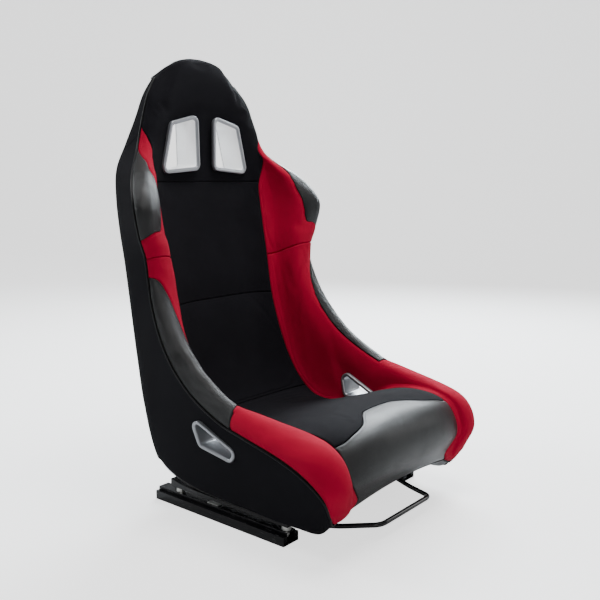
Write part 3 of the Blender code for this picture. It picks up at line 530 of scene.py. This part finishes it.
BLACK_CLOTH = finish("black_cloth", KNIT, (0.0034, 0.0032, 0.0056), {"Pitch": 0.0016}, (0.5, 0.0004), "UV",
                     Sheen_Weight=0.015, Sheen_Roughness=0.4, Specular_IOR_Level=0.06)
RED_CLOTH = finish("red_cloth", KNIT, (0.44, 0.0016, 0.030), {"Pitch": 0.0016}, (0.5, 0.0004), "UV",
                   Sheen_Weight=0.01, Sheen_Roughness=0.4, Specular_IOR_Level=0.06)
LEATHER = finish("black_leather", GRAIN, (0.0030, 0.0030, 0.0034), {"Scale": 620.0}, (0.45, 0.0005),
                 Specular_IOR_Level=0.34)
PIPING = finish("piping", GRAIN, (0.003, 0.003, 0.0035), {"Scale": 900.0}, (0.3, 0.0002),
                Specular_IOR_Level=0.12)
THREAD = finish("thread", KNIT, (0.012, 0.012, 0.014), {"Pitch": 0.0008}, (0.4, 0.0001))
GEL_COAT = finish("gel_coat", HANDLING, (0.005, 0.005, 0.0055), {"Dust": 0.15, "Gloss": 0.38}, (0.15, 0.0003))
SILVER = finish("satin_silver", HANDLING, (0.30, 0.31, 0.33), {"Dust": 0.1, "Gloss": 0.30}, (0.04, 0.0001),
                Metallic=0.7)
# A white lining for the shoulder slots' sleeves: painted light of the bright backdrop seen through the slot,
# not the frame's own colour.
PAINTED_BACKDROP_LINING = finish("painted_backdrop_lining", HANDLING, (0.95, 0.95, 0.95), {"Dust": 0.0, "Gloss": 0.5}, (0.04, 0.0001))
GLOSS_BLACK = finish("gloss_black", HANDLING, (0.003, 0.003, 0.004), {"Dust": 0.03, "Gloss": 0.20},
                     (0.05, 0.0002), Coat_Weight=0.1, Coat_Roughness=0.08, Specular_IOR_Level=0.3)
ZINC = finish("zinc_plate", HANDLING, (0.66, 0.66, 0.63), {"Dust": 0.2, "Gloss": 0.30}, (0.12, 0.0001),
              Metallic=1.0)
STEEL = finish("plain_steel", HANDLING, (0.42, 0.42, 0.43), {"Dust": 0.2, "Gloss": 0.32}, (0.12, 0.0001),
               Metallic=1.0)
FLOOR = finish("studio_floor", HANDLING, (0.62, 0.62, 0.62), {"Dust": 0.0, "Gloss": 0.7}, (0.0, 0.0001),
               Emission_Color=(1.0, 1.0, 1.0, 1.0), Specular_IOR_Level=0.1)
seen_floor = FLOOR.node_tree.nodes.new("ShaderNodeLightPath").outputs["Is Camera Ray"]
FLOOR.node_tree.links.new(maths(FLOOR.node_tree, "MULTIPLY", seen_floor, 1.5),
                          FLOOR.node_tree.nodes["Principled BSDF"].inputs["Emission Strength"])

CAD_LOOKS = {"collar_stud": ZINC, "rail_nut": ZINC, "roller_cage": ZINC, "latch_bracket": ZINC,
             "latch_lever": ZINC, "roller_front": STEEL, "roller_rear": STEEL, "pivot_pin": STEEL,
             "latch_spring": STEEL, "mounting_bar": GLOSS_BLACK, "lower_rail": GLOSS_BLACK,
             "upper_rail": GLOSS_BLACK, "release_bar": GLOSS_BLACK}
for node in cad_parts:
    for start, look in CAD_LOOKS.items():
        if node.startswith(start):
            for material_slot in bpy.data.objects[node].material_slots:
                material_slot.material = look
print("repainted the hard parts")


# %% [markdown]
# ## The studio floor
# A sheet that lies flat under the seat and bends up far behind it, so no horizon shows.

# %% Floor
def make_floor():
    """Across X; along Y it is flat up to the bend, then climbs a quarter circle of radius 1.5 m."""
    x = np.linspace(-9, 9, 3)[None, :]
    turn = np.linspace(0, math.pi / 2, 17)
    depth = np.concatenate([[-9.0], 3.5 + 1.5 * np.sin(turn), [5.0]])[:, None]
    rise = np.concatenate([[0.0], 1.5 * (1 - np.cos(turn)), [6.0]])[:, None]
    heading = math.radians(50.5)
    across, away = x + 0 * depth, depth + 0 * x
    points = np.stack([across * math.cos(heading) + away * math.sin(heading),
                       -across * math.sin(heading) + away * math.cos(heading),
                       rise + 0 * x], -1)
    mesh = bpy.data.meshes.new("floor")
    mesh.from_pydata(points.reshape(-1, 3).tolist(), [], quads(19, 3)[:, ::-1].tolist())
    mesh.shade_smooth()
    mesh.materials.append(FLOOR)
    made = bpy.data.objects.new("floor", mesh)
    scene.collection.objects.link(made)
    made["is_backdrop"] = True


make_floor()


# %% [markdown]
# ## Padded panels
# A racing seat is covered in panels sewn edge to edge over foam.  Between two seams each
# panel stands a little proud, and at the seam it dives down.  So a panel is a piece of the
# skin between four curves, lifted by a roll at its edges and a slow crown further in.  It is
# then blown up a little by a cloth simulation, held at its seams, so that the cover sits on
# the foam as cloth does.

# %% The belt slots
# outlines of the slots' frames: across and up for the shoulder belts, along and up for the lap belt
HARNESS = np.array([(0.024, 0.833), (0.107, 0.812), (0.137, 0.697), (0.021, 0.707)])
LAP = np.array([(0.027, 0.234), (0.006, 0.166), (-0.080, 0.150), (-0.101, 0.177)]) + (SHIFT, 0)
LEVELLING = 0.016       # how far round a frame the panel is drawn flat


def beyond(corners, p, q):
    """How far a place lies outside a convex outline: the largest of its distances over the sides."""
    side = np.roll(corners, -1, 0) - corners
    normal = unit(np.stack([side[:, 1], -side[:, 0]], -1))
    normal *= np.sign(np.sum((corners - corners.mean(0)) * normal, -1))[:, None]
    return np.max((p[..., None] - corners[:, 0]) * normal[:, 0]
                  + (q[..., None] - corners[:, 1]) * normal[:, 1], -1)


def clearance(points):
    """Metres from places on the skin to the nearest slot's frame, below zero behind the frame."""
    x, y, z = np.abs(points[..., 0]), points[..., 1], points[..., 2]
    harness = np.where(z > 0.6, beyond(HARNESS, x, z), 1.0)
    return np.minimum(harness, np.where((x > 0.16) & (z < 0.3), beyond(LAP, y, z), 1.0))


# %% Panel shapes
def spread(count):
    """Numbers from 0 to 1 that lie closer together at both ends."""
    t = np.linspace(0, 1, count)
    return t - 0.7 * np.sin(2 * math.pi * t) / (2 * math.pi)


def patch(low_s, high_s, low_v, high_v, rows, cols):
    """Places (s, v) between four curves; the s curves depend on v and the v curves on s."""
    a, b = spread(rows)[:, None], spread(cols)[None, :]
    s = low_s(0.5 + 0 * b) + (high_s(0.5 + 0 * b) - low_s(0.5 + 0 * b)) * a
    v = low_v(s) + (high_v(s) - low_v(s)) * b
    for _ in range(12):
        s = 0.5 * s + 0.5 * (low_s(v) + (high_s(v) - low_s(v)) * a)
        v = low_v(s) + (high_v(s) - low_v(s)) * b
    return s, v


def constant(value):
    """A curve that is the same everywhere."""
    return lambda at: value + 0 * at


def distances(points):
    """Metres along the two ways of a grid, and metres to the nearest of its four edges."""
    down = np.linalg.norm(np.diff(points, axis=0), axis=-1)
    across = np.linalg.norm(np.diff(points, axis=1), axis=-1)
    w = np.concatenate([np.zeros((1, points.shape[1])), np.cumsum(down, 0)], 0)
    u = np.concatenate([np.zeros((points.shape[0], 1)), np.cumsum(across, 1)], 1)
    edge = np.minimum(np.minimum(w, w[-1:] - w), np.minimum(u, u[:, -1:] - u))
    return u, w, edge


def ripple(u, w, size, length):
    """A few crossing sines of unlike lengths, which no two places share."""
    k = 2 * math.pi / length
    return size * (np.sin(k * u + 1.3 * np.sin(0.61 * k * w)) * np.sin(0.83 * k * w + 0.7)
                   + 0.5 * np.sin(1.9 * k * u - 1.1 * k * w + 2.0))


def panel(name, look, s, v, crown=0.0025, roll=0.004, thick=0.006, wave=(0.0, 0.05), under=False):
    """A stuffed panel over the places (s, v).

    Height over the skin: a quarter-round drop of radius roll at the edges, plus a crown that
    grows as 1 - exp(-(distance / 30 mm) squared), plus a faint ripple.  Round a belt slot the
    panel lies flat on its foam, and under the leather (under=True) it lies lower still.
    """
    base, normal = skin(s, v), facing(skin, s, v)
    u, w, edge = distances(base)
    if under:
        edge = np.clip(np.minimum(edge, leather_distance(s, v, base)), 0, None)
    near = 1 - np.clip(edge / roll, 0, 1)
    open_share = np.clip(clearance(base) / LEVELLING, 0, 1)
    rise = crown * (1 - np.exp(-(edge / 0.03)**2)) + np.clip(edge / 0.02, 0, 1) * ripple(u, w, *wave)
    height = rise * open_share**2 * (3 - 2 * open_share) - roll * (1 - np.sqrt(np.clip(1 - near**2, 0, 1)))
    made = slab(name, base + normal * height[..., None], base - normal * thick, look, np.stack([u, w], -1))
    held = made.vertex_groups.new(name="held")
    fixed = np.nonzero((edge < 1.5 * roll) | (open_share < 0.8))
    held.add(np.ravel_multi_index(fixed, s.shape).tolist(), 1.0, "REPLACE")
    held.add(list(range(s.size, 2 * s.size)), 1.0, "REPLACE")
    return made


# %% Cloth
SWELL, LEATHER_SWELL = 0.0025, 0.002        # the most that a cover may rise, in metres


def inflate(made, cap, pressure=4.0, frames=20):
    """Blow a panel up with the cloth solver for a few frames.

    A point that moved by d is brought back to cap * tanh(d / cap), so none goes further than cap.
    """
    before = np.empty(3 * len(made.data.vertices))
    made.data.vertices.foreach_get("co", before)
    cloth = made.modifiers.new("cloth", "CLOTH")
    cloth.settings.quality = 4
    cloth.settings.use_pressure = True
    cloth.settings.uniform_pressure_force = pressure
    cloth.settings.vertex_group_mass = "held"
    cloth.settings.effector_weights.gravity = 0.0
    cloth.settings.mass = 0.2
    cloth.settings.tension_stiffness = 12.0
    cloth.settings.compression_stiffness = 12.0
    cloth.settings.bending_stiffness = 0.3
    cloth.point_cache.frame_end = frames
    for number in range(1, frames + 1):
        scene.frame_set(number)
    moved = made.evaluated_get(bpy.context.evaluated_depsgraph_get()).to_mesh()
    after = np.empty_like(before)
    moved.vertices.foreach_get("co", after)
    made.modifiers.remove(cloth)
    scene.frame_set(1)
    step = (after - before).reshape(-1, 3)
    length = np.linalg.norm(step, axis=1, keepdims=True)
    step *= cap * np.tanh(length / cap) / np.maximum(length, 1e-9)
    made.data.vertices.foreach_set("co", (before.reshape(-1, 3) + step).ravel())
    made.data.update()
    print(made.name, "swelled by up to %.1f mm" % (1000 * min(float(length.max()), cap)))
    return made


# %% [markdown]
# ## Where the seams run
# The black middle is bounded by the panel seam.  At the shoulders that seam swings out over
# the crest, so that the red ends in a point beside the head.  The leather patches start on
# the crest, and the leather of the front roll meets the seat cloth in a wave with a tall
# hump in the middle.

# %% Seam lines
WAVE = smooth_curve([(0.0, 2.98), (0.05, 2.97), (0.11, 2.92), (0.17, 2.70), (0.23, 2.42), (0.28, 2.29),
                     (0.34, 2.20), (0.40, 2.13), (PANEL, 2.16)])
HEAD_SEAM = smooth_curve([(14.2, PANEL), (14.9, 0.50), (15.5, 0.63), (16.05, 0.83), (16.5, 1.15),
                          (16.78, 1.48)])
HIP_SEAM = smooth_curve([(4.5, 0.93), (6.0, 0.93), (8.0, 0.94), (9.4, 1.00), (10.2, 1.10), (10.8, 1.25),
                         (11.25, 1.52)])
HIP_FRONT = smooth_curve([(0.9, 4.86), (1.1, 4.74), (1.5, 4.55)])
SHOULDER_SEAM = smooth_curve([(12.7, 0.97), (13.3, 0.90), (13.9, 0.86), (14.6, 0.86), (15.1, 0.93),
                              (15.6, 1.08), (16.2, 1.52)])
SHOULDER_FOOT = smooth_curve([(0.7, 13.08), (1.0, 13.02), (1.5, 12.80)])
BACK_SEAM, RED_SEAM = 10.87, 11.9
HEAD_START, CUSHION_END = 14.5, 7.5
SEAM_V = 1.0 + ROLL - 0.02         # the covers stop just short of the seam, under its piping
FIRST, LAST = 0.03 - ROLL, HEAD + ROLL - 0.03
LEATHERS = {"hip": (HIP_SEAM, HIP_FRONT, 4.5, 11.09), "shoulder": (SHOULDER_SEAM, SHOULDER_FOOT, 12.7, 16.05)}


def leather_distance(s, v, base):
    """Metres to the nearest leather seam, with a minus sign under the leather itself."""
    v = np.abs(v)
    nearest, covered = np.ones(s.shape), np.zeros(s.shape, bool)
    for inner, foot, low, high in LEATHERS.values():
        covered |= (v > inner(s)) & (s > foot(v)) & (s < high)
        down, across = np.linspace(low, high, 160), np.linspace(0.7, SEAM_V, 60)
        keep = down > foot(inner(down))
        lines = np.concatenate([skin(down[keep], inner(down)[keep]),
                                skin(foot(across), across)[across > inner(foot(across))]])
        flat = np.abs(base.reshape(-1, 3) * (1, 0, 0)) + base.reshape(-1, 3) * (0, 1, 1)
        best = np.full(len(flat), np.inf)
        for start in range(0, len(lines), 20):
            gap = np.linalg.norm(flat[:, None] - lines[None, start:start + 20], axis=-1)
            best = np.minimum(best, gap.min(1))
        nearest = np.minimum(nearest, best.reshape(s.shape))
    return np.where(covered, -nearest, nearest)


# %% [markdown]
# ## The black middle
# One run of cloth panels from the front roll to the top of the head: a leather front roll,
# the cushion, two back panels, and the head panel that widens to the whole width above the
# shoulders.

# %% Middle panels
def below(v):
    """Where the leather front roll ends."""
    return WAVE(np.abs(v))


def edge_right(s):
    """The seam on the sitter's right."""
    return -HEAD_SEAM(s)


# name, look, slot, CAD node, from s, to s, rows, columns, crown, ripple
MIDDLE = [
    ("front_roll", LEATHER, "black_leather", "cushion_nose", constant(FIRST), below,
     78, 120, 0.0015, 0.00012),
    ("cushion", BLACK_CLOTH, "black_fabric", "seat_cushion", below, constant(CUSHION_END),
     84, 108, 0.003, 0.0003),
    ("lower_back", BLACK_CLOTH, "black_fabric", "lower_back_pad", constant(CUSHION_END), constant(BACK_SEAM),
     72, 96, 0.003, 0.0003),
    ("upper_back", BLACK_CLOTH, "black_fabric", "upper_back_pad", constant(BACK_SEAM), constant(HEAD_START),
     72, 96, 0.003, 0.0003),
    ("head", BLACK_CLOTH, "black_fabric", "headrest_pad", constant(HEAD_START), constant(LAST),
     96, 96, 0.0015, 0.0002),
]
PADS = []
for name, look, mark, node, low, high, rows, cols, crown, waves in MIDDLE:
    pad = panel(name, look, *patch(low, high, edge_right, HEAD_SEAM, rows, cols), crown=crown,
                wave=(waves, 0.09))
    inflate(pad, SWELL)
    settle(pad, "seat", mark, node)
    PADS.append(pad)
print("middle:", ", ".join(pad.name for pad in PADS))


# %% [markdown]
# ## The red bolsters and the leather on them
# Each side is covered by two long red panels that meet at the waist and wrap over the crest
# to the outer seam.  Leather patches lie where a driver's hips and shoulders rub.  The red
# dips under each patch, and the patch dips into that groove from its own side.

# %% Bolsters and patches
BOLSTERS = [
    ("lower", ("thigh_bolster", "hip_bolster"), FIRST, RED_SEAM, 190, 68),
    ("upper", ("waist_bolster", "wing_bolster"), RED_SEAM, 16.75, 84, 68),
]
PATCH_ROWS = {"hip": (132, 40), "shoulder": (72, 52)}
for side, sign in SIDES.items():
    for part, nodes, low, high, rows, cols in BOLSTERS:
        s, v = patch(constant(low), constant(high), HEAD_SEAM, constant(SEAM_V), rows, cols)
        pad = panel(f"red_{part}_{side}", RED_CLOTH, s, sign * v, crown=0.003, wave=(0.0003, 0.09),
                    under=True)
        inflate(pad, SWELL)
        settle(pad, "seat", "red_fabric", *[f"{node}_{side}" for node in nodes])
        PADS.append(pad)
    for part, (inner, foot, low, high) in LEATHERS.items():
        s, v = patch(foot, constant(high), inner, constant(SEAM_V), *PATCH_ROWS[part])
        pad = panel(f"{part}_leather_{side}", LEATHER, s, sign * v, crown=0.002, wave=(0.00035, 0.06))
        inflate(pad, LEATHER_SWELL)
        settle(pad, "seat", "black_leather", f"{part}_patch_{side}")
        PADS.append(pad)
print("bolsters and patches:", ", ".join(pad.name for pad in PADS[len(MIDDLE):]))


# %% [markdown]
# ## The shell and its outer trim
# Outside the pads is a moulded laminate shell, painted with black gel coat, which shows
# under the cushion.  Its sides and back are trimmed with the black cloth over thin felt.

# %% Trim
TRIM, FLOOR_EDGE, BACK_START = 0.003, 0.59, 8.0


def layer(s, v, depth):
    """The hull moved inwards by a depth, along its own normals."""
    return hull(s, v) + facing(hull, s, v) * np.asarray(depth)[..., None]


def trim(name, look, s, v, depth=0.0, thick=TRIM, soft=0.0015):
    """A cover on the hull: from depth to depth + thick, its edges rounded off by soft."""
    base = hull(s, v)
    u, w, edge = distances(base)
    near = 1 - np.clip(edge / soft, 0, 1)
    top = layer(s, v, depth + soft * (1 - np.sqrt(np.clip(1 - near**2, 0, 1))))
    return slab(name, top, layer(s, v, depth + thick + 0 * s), look, np.stack([u, w], -1))


BACK_EDGE = smooth_curve([(15.2, FLOOR_EDGE), (15.7, 0.66), (16.2, 0.86), (16.6, 1.0)])
SIDE_END = 16.58        # where the two trims have met on the crest
side_trims = {}
for side, sign in SIDES.items():
    s, v = patch(constant(0.0), constant(SIDE_END), BACK_EDGE, constant(1.0), 260, 44)
    side_trims[side] = settle(trim(f"side_trim_{side}", BLACK_CLOTH, s, sign * v), "seat", "black_fabric",
                              f"side_cover_{side}")
s, v = patch(constant(BACK_START), constant(HEAD), lambda s: -BACK_EDGE(s), BACK_EDGE, 190, 90)
back_trim = settle(trim("back_trim", BLACK_CLOTH, s, v), "seat", "black_fabric", "back_cover")
s, v = patch(constant(0.0), constant(HEAD), constant(-1.0), constant(1.0), 230, 150)
shell = trim("shell", GEL_COAT, s, v, depth=TRIM + 0.0003, thick=0.005, soft=0.001)
settle(shell, "seat", "laminate", "laminate_shell")
print("outside:", ", ".join(cover.name for cover in (*side_trims.values(), back_trim, shell)))


# %% [markdown]
# ## Belt slots
# Two shoulder slots go through the head and two lap slots through the hips.  Each is lined
# with a pair of moulded frames, one from either side, whose sleeves meet inside the wall.
# A frame is one closed profile carried round a rounded outline.

# %% Frames
FRAME_RADIUS, SLEEVE = 0.016, 0.002
LAP_LEAN = 0.14         # how far the lap frames lean outwards, per metre of height


def rounded_outline(corners, inset, arc=10):
    """A convex outline moved inwards by inset, each corner an arc of arc + 1 points."""
    radius = max(FRAME_RADIUS - inset, 0.006)
    before = unit(corners - np.roll(corners, 1, 0))
    after = np.roll(before, -1, 0)
    turn = np.sign(np.sum(before[:, 0] * after[:, 1] - before[:, 1] * after[:, 0]))
    inward = unit(turn * np.stack([-before[:, 1] - after[:, 1], before[:, 0] + after[:, 0]], -1))
    half = np.sqrt((1 + np.sum(before * after, -1)) / 2)[:, None]
    centre = corners + inward * (inset + radius) / half
    start = -turn * np.stack([-before[:, 1], before[:, 0]], -1)
    swing = turn * np.arccos(np.clip(np.sum(before * after, -1), -1, 1))[:, None] * np.linspace(0, 1, arc + 1)
    cosine, sine = np.cos(swing), np.sin(swing)
    x = centre[:, :1] + radius * (start[:, :1] * cosine - start[:, 1:] * sine)
    y = centre[:, 1:] + radius * (start[:, :1] * sine + start[:, 1:] * cosine)
    return np.stack([x, y], -1).reshape(-1, 2)


# inset from the outline and height over the frame's back, in mm, round the flange's own shape
FLANGE = [(0.0, -5.0), (0.0, 0.9), (0.25, 1.7), (0.8, 2.4), (1.7, 2.85), (3.0, 3.0), (5.2, 2.9), (6.8, 2.5),
          (7.9, 1.7), (8.6, 0.4), (9.0, -1.4)]


def slot_frame(name, corners, width, place, back, deep, out, lining):
    """Rings (inset, level) round the outline, joined ring to ring and closed on themselves.

    place(p, level) gives the place in space; level rises in the sense of out.
    """
    share = width / 9.0
    rings = [(a * share * MM, back + out * b * MM) for a, b in FLANGE]
    rings += [(width * MM, deep), (width * MM - SLEEVE, deep), (width * MM - SLEEVE, back - out * 0.005)]
    points = np.stack([place(rounded_outline(corners, inset), level) for inset, level in rings])
    made = build(name, points, quads(*points.shape[:2], True, True), SILVER)
    made.data.materials.append(lining)
    ring = np.arange(len(made.data.polygons)) // points.shape[1]
    made.data.polygons.foreach_set("material_index", (ring >= len(FLANGE) - 1).astype(np.int32))
    return made


def hole(name, corners, width, place, low, high):
    """A prism that clears a frame's sleeve, to cut the slot with."""
    outline = rounded_outline(corners, width * MM - SLEEVE - 0.0003)
    points = np.stack([place(outline, low), place(outline, high)])
    count = len(outline)
    return build(name, points, quads(2, count, False, True), GEL_COAT,
                 caps=[range(count)[::-1], range(count, 2 * count)])


def punch(pieces, cutter):
    """Cut a hole through each piece with an exact Boolean, and keep the result as its mesh."""
    for piece in pieces:
        cutting = piece.modifiers.new("slot", "BOOLEAN")
        cutting.operation = "DIFFERENCE"
        cutting.solver = "EXACT"
        cutting.object = cutter
        seen = bpy.context.evaluated_depsgraph_get()
        done = bpy.data.meshes.new_from_object(piece.evaluated_get(seen), preserve_all_data_layers=True,
                                               depsgraph=seen)
        piece.modifiers.clear()
        piece.data = done
    bpy.data.objects.remove(cutter)


for side, sign in SIDES.items():
    def on_back(p, level):
        """Across and up, at a level of Y."""
        return np.stack([sign * p[:, 0], level + 0 * p[:, 0], p[:, 1]], -1)

    def on_side(p, level):
        """Along and up, at a level of X that leans outwards with height."""
        return np.stack([sign * (level + LAP_LEAN * (p[:, 1] - LAP[:, 1].mean())), p[:, 0], p[:, 1]], -1)

    front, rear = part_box(f"harness_bezel_front_{side}"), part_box(f"harness_bezel_rear_{side}")
    levels = front[0].y + 0.003, rear[1].y - 0.003
    inner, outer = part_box(f"lap_bezel_inner_{side}"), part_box(f"lap_bezel_outer_{side}")
    lap_ends = sorted(abs(corner.x) for corner in (*inner, *outer))
    lean = LAP_LEAN * (LAP[:, 1] - LAP[:, 1].mean())
    lap_levels = lap_ends[0] - lean.min() + 0.003, lap_ends[-1] - lean.max() - 0.003
    for shape, width, place, node, (near_level, far_level) in (
            (HARNESS, 9.0, on_back, "harness_bezel_{}_" + side, levels),
            (LAP, 8.0, on_side, "lap_bezel_{}_" + side, lap_levels)):
        ends = ("front", "rear") if place is on_back else ("inner", "outer")
        halfway = 0.5 * (near_level + far_level)
        for end, level, out in ((ends[0], near_level, -1.0), (ends[1], far_level, 1.0)):
            # The shoulder frames' sleeves get the white lining, painted backdrop light seen through the slot;
            # the lap frames stay silver.
            made = slot_frame(node.format(end).replace("bezel", "frame"), shape, width, place, level,
                              halfway + out * 0.0002, out, PAINTED_BACKDROP_LINING if place is on_back else SILVER)
            settle(made, "seat", "silver_plastic", node.format(end))
    pads = {pad.name: pad for pad in PADS}
    punch([pads["head"], shell, back_trim], hole(f"harness_hole_{side}", HARNESS, 9.0, on_back,
                                                levels[0] - 0.03, levels[1] + 0.03))
    punch([pads[f"red_lower_{side}"], pads[f"hip_leather_{side}"], pads["cushion"], shell, side_trims[side]],
          hole(f"lap_hole_{side}", LAP, 8.0, on_side, lap_levels[0] - 0.03, lap_levels[1] + 0.05))
print("slot frames fitted at", [round(level, 4) for level in (*levels, *lap_levels)])


# %% [markdown]
# ## Piping
# A cord in a strip of leather closes the seam between the upholstery and the outer trim, all
# the way round the rim.  It is a tube: a circle carried along the seam.

# %% Tubes
def tube(name, path, radius, look, reference, sides=12, ends=4):
    """A circle carried along a path, its ends rounded as half spheres.

    Across it, one direction is the reference made square to the path, the other their cross
    product; at an end, ring k is smaller by the cosine of k's angle and further by its sine.
    """
    heading = unit(np.gradient(path, axis=0))
    turn = np.linspace(math.pi / 2, 0, ends, endpoint=False)
    path = np.concatenate([path[:1] - heading[:1] * radius * np.sin(turn)[:, None], path,
                           path[-1:] + heading[-1:] * radius * np.sin(turn[::-1])[:, None]])
    size = radius * np.concatenate([np.cos(turn) + 0.02, np.ones(len(heading)), np.cos(turn[::-1]) + 0.02])
    heading = np.concatenate([np.repeat(heading[:1], ends, 0), heading, np.repeat(heading[-1:], ends, 0)])
    side = unit(reference - np.sum(reference * heading, -1, keepdims=True) * heading)
    other = np.cross(heading, side)
    angle = np.linspace(0, 2 * math.pi, sides, endpoint=False)[None, :, None]
    ring = np.cos(angle) * side[:, None] + np.sin(angle) * other[:, None]
    points = path[:, None] + size[:, None, None] * ring
    count = len(path)
    length = np.concatenate([[0], np.cumsum(np.linalg.norm(np.diff(path, axis=0), axis=1))])
    uv = np.stack(np.broadcast_arrays(radius * angle[..., 0], length[:, None]), -1)
    return build(name, points, quads(count, sides, False, True), look, uv,
                 caps=[range(sides)[::-1], range((count - 1) * sides, count * sides)])


PIPE = 0.0023
for side, sign in SIDES.items():
    down = np.linspace(0, HEAD, 420)
    seam = hull(down, sign * np.ones_like(down))
    settle(tube(f"piping_{side}", seam, PIPE, PIPING, np.array([1.0, 0, 0])), "seat", "black_leather")
across = np.linspace(-1, 1, 160)
settle(tube("piping_top", hull(HEAD + 0 * across, across), PIPE, PIPING, np.array([0, 1.0, 0])), "seat",
       "black_leather")
settle(tube("piping_front", hull(0 * across, across), PIPE, PIPING, np.array([0, 1.0, 0])), "seat",
       "black_leather")


# %% [markdown]
# ## The release bar
# A round bar with five bends joins the two latch levers and can be lifted from the front.
# Each bend is an arc, and the straight runs stay straight.

# %% Release bar
def bent(corners, reach, steps=12):
    """A path through corners, each cut off at reach and replaced by a quadratic curve."""
    before = corners[1:-1] + unit(corners[:-2] - corners[1:-1]) * reach
    after = corners[1:-1] + unit(corners[2:] - corners[1:-1]) * reach
    t = np.linspace(0, 1, steps)[None, :, None]
    arcs = (1 - t)**2 * before[:, None] + 2 * t * (1 - t) * corners[1:-1, None] + t**2 * after[:, None]
    return np.concatenate([corners[:1], arcs.reshape(-1, 3), corners[-1:]])


bar_low, bar_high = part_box("release_bar")
half_bar = np.array([(bar_high.x - 0.003, -0.048, 0.0205), (bar_high.x - 0.005, -0.110, 0.0205),
                     (0.163, -0.166, 0.0205), (0.132, -0.232, 0.0210), (0.090, -0.307, 0.0310)])
half_bar += (0, SHIFT, 0)
bar_path = bent(np.concatenate([half_bar, half_bar[::-1] * (-1, 1, 1)]), 0.016)
settle(tube("lift_bar", bar_path, 0.005, GLOSS_BLACK, np.array([0, 0, 1.0]), sides=24), "release",
       "black_paint", "release_bar")
print("release bar", np.round(bar_path.min(0), 4), "to", np.round(bar_path.max(0), 4), "node",
      [round(value, 4) for value in (*bar_low, *bar_high)])


# %% [markdown]
# ## Stitching
# Beside each leather seam runs a row of lockstitches.  One stitch is a small stretched bead,
# and the row is that bead repeated along the seam.

# %% Stitches
def stitches(name, s, v, lift):
    """Beads 3.4 mm long every 5 mm along a line on the skin, lift metres over it."""
    line, normal = skin(s, v), facing(skin, s, v)
    length = np.concatenate([[0], np.cumsum(np.linalg.norm(np.diff(line, axis=0), axis=1))])
    at = np.arange(0.006, length[-1] - 0.006, 0.005)
    centre = np.stack([np.interp(at, length, line[:, k]) for k in range(3)], -1)
    up = unit(np.stack([np.interp(at, length, normal[:, k]) for k in range(3)], -1))
    heading = unit(np.stack([np.interp(at, length, np.gradient(line, axis=0)[:, k]) for k in range(3)], -1))
    side = np.cross(up, heading)
    u = np.linspace(0, 1, 6)
    ring = 0.0005 * np.sqrt(np.clip(1 - (2 * u - 1)**2, 0.02, 1))
    reach = (u - 0.5) * 0.0034
    angle = np.linspace(0, 2 * math.pi, 6, endpoint=False)
    points = (centre[:, None, None] + up[:, None, None] * (lift - 0.0003 * (2 * u - 1)**2)[:, None, None]
              + heading[:, None, None] * reach[None, :, None, None]
              + ring[None, :, None, None] * (np.cos(angle)[:, None] * side[:, None, None]
                                             + np.sin(angle)[:, None] * up[:, None, None]))
    faces = (quads(6, 6, False, True)[None] + 36 * np.arange(len(at))[:, None, None]).reshape(-1, 4)
    ends = (36 * np.arange(len(at))[:, None] + np.arange(6)).tolist()
    caps = [end[::-1] for end in ends] + [[i + 30 for i in end] for end in ends]
    return build(name, points, faces, THREAD, np.zeros((points.size // 3, 2)), caps)


for side, sign in SIDES.items():
    for part, (inner, foot, low, high) in LEATHERS.items():
        s = np.linspace(low + 0.45, high - 0.12, 300)
        row = stitches(f"stitches_{part}_{side}", s, sign * (inner(s) + 0.028), 0.0006)
        settle(row, "seat", "black_leather")
v = np.linspace(-PANEL + 0.01, PANEL - 0.01, 300)
settle(stitches("stitches_front", below(v) - 0.10, v, 0.0004), "seat", "black_leather")


# %% [markdown]
# ## The size
# The box that the shown pieces of the dressed seat fill, found from their bounds.

# %% Size
low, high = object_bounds()
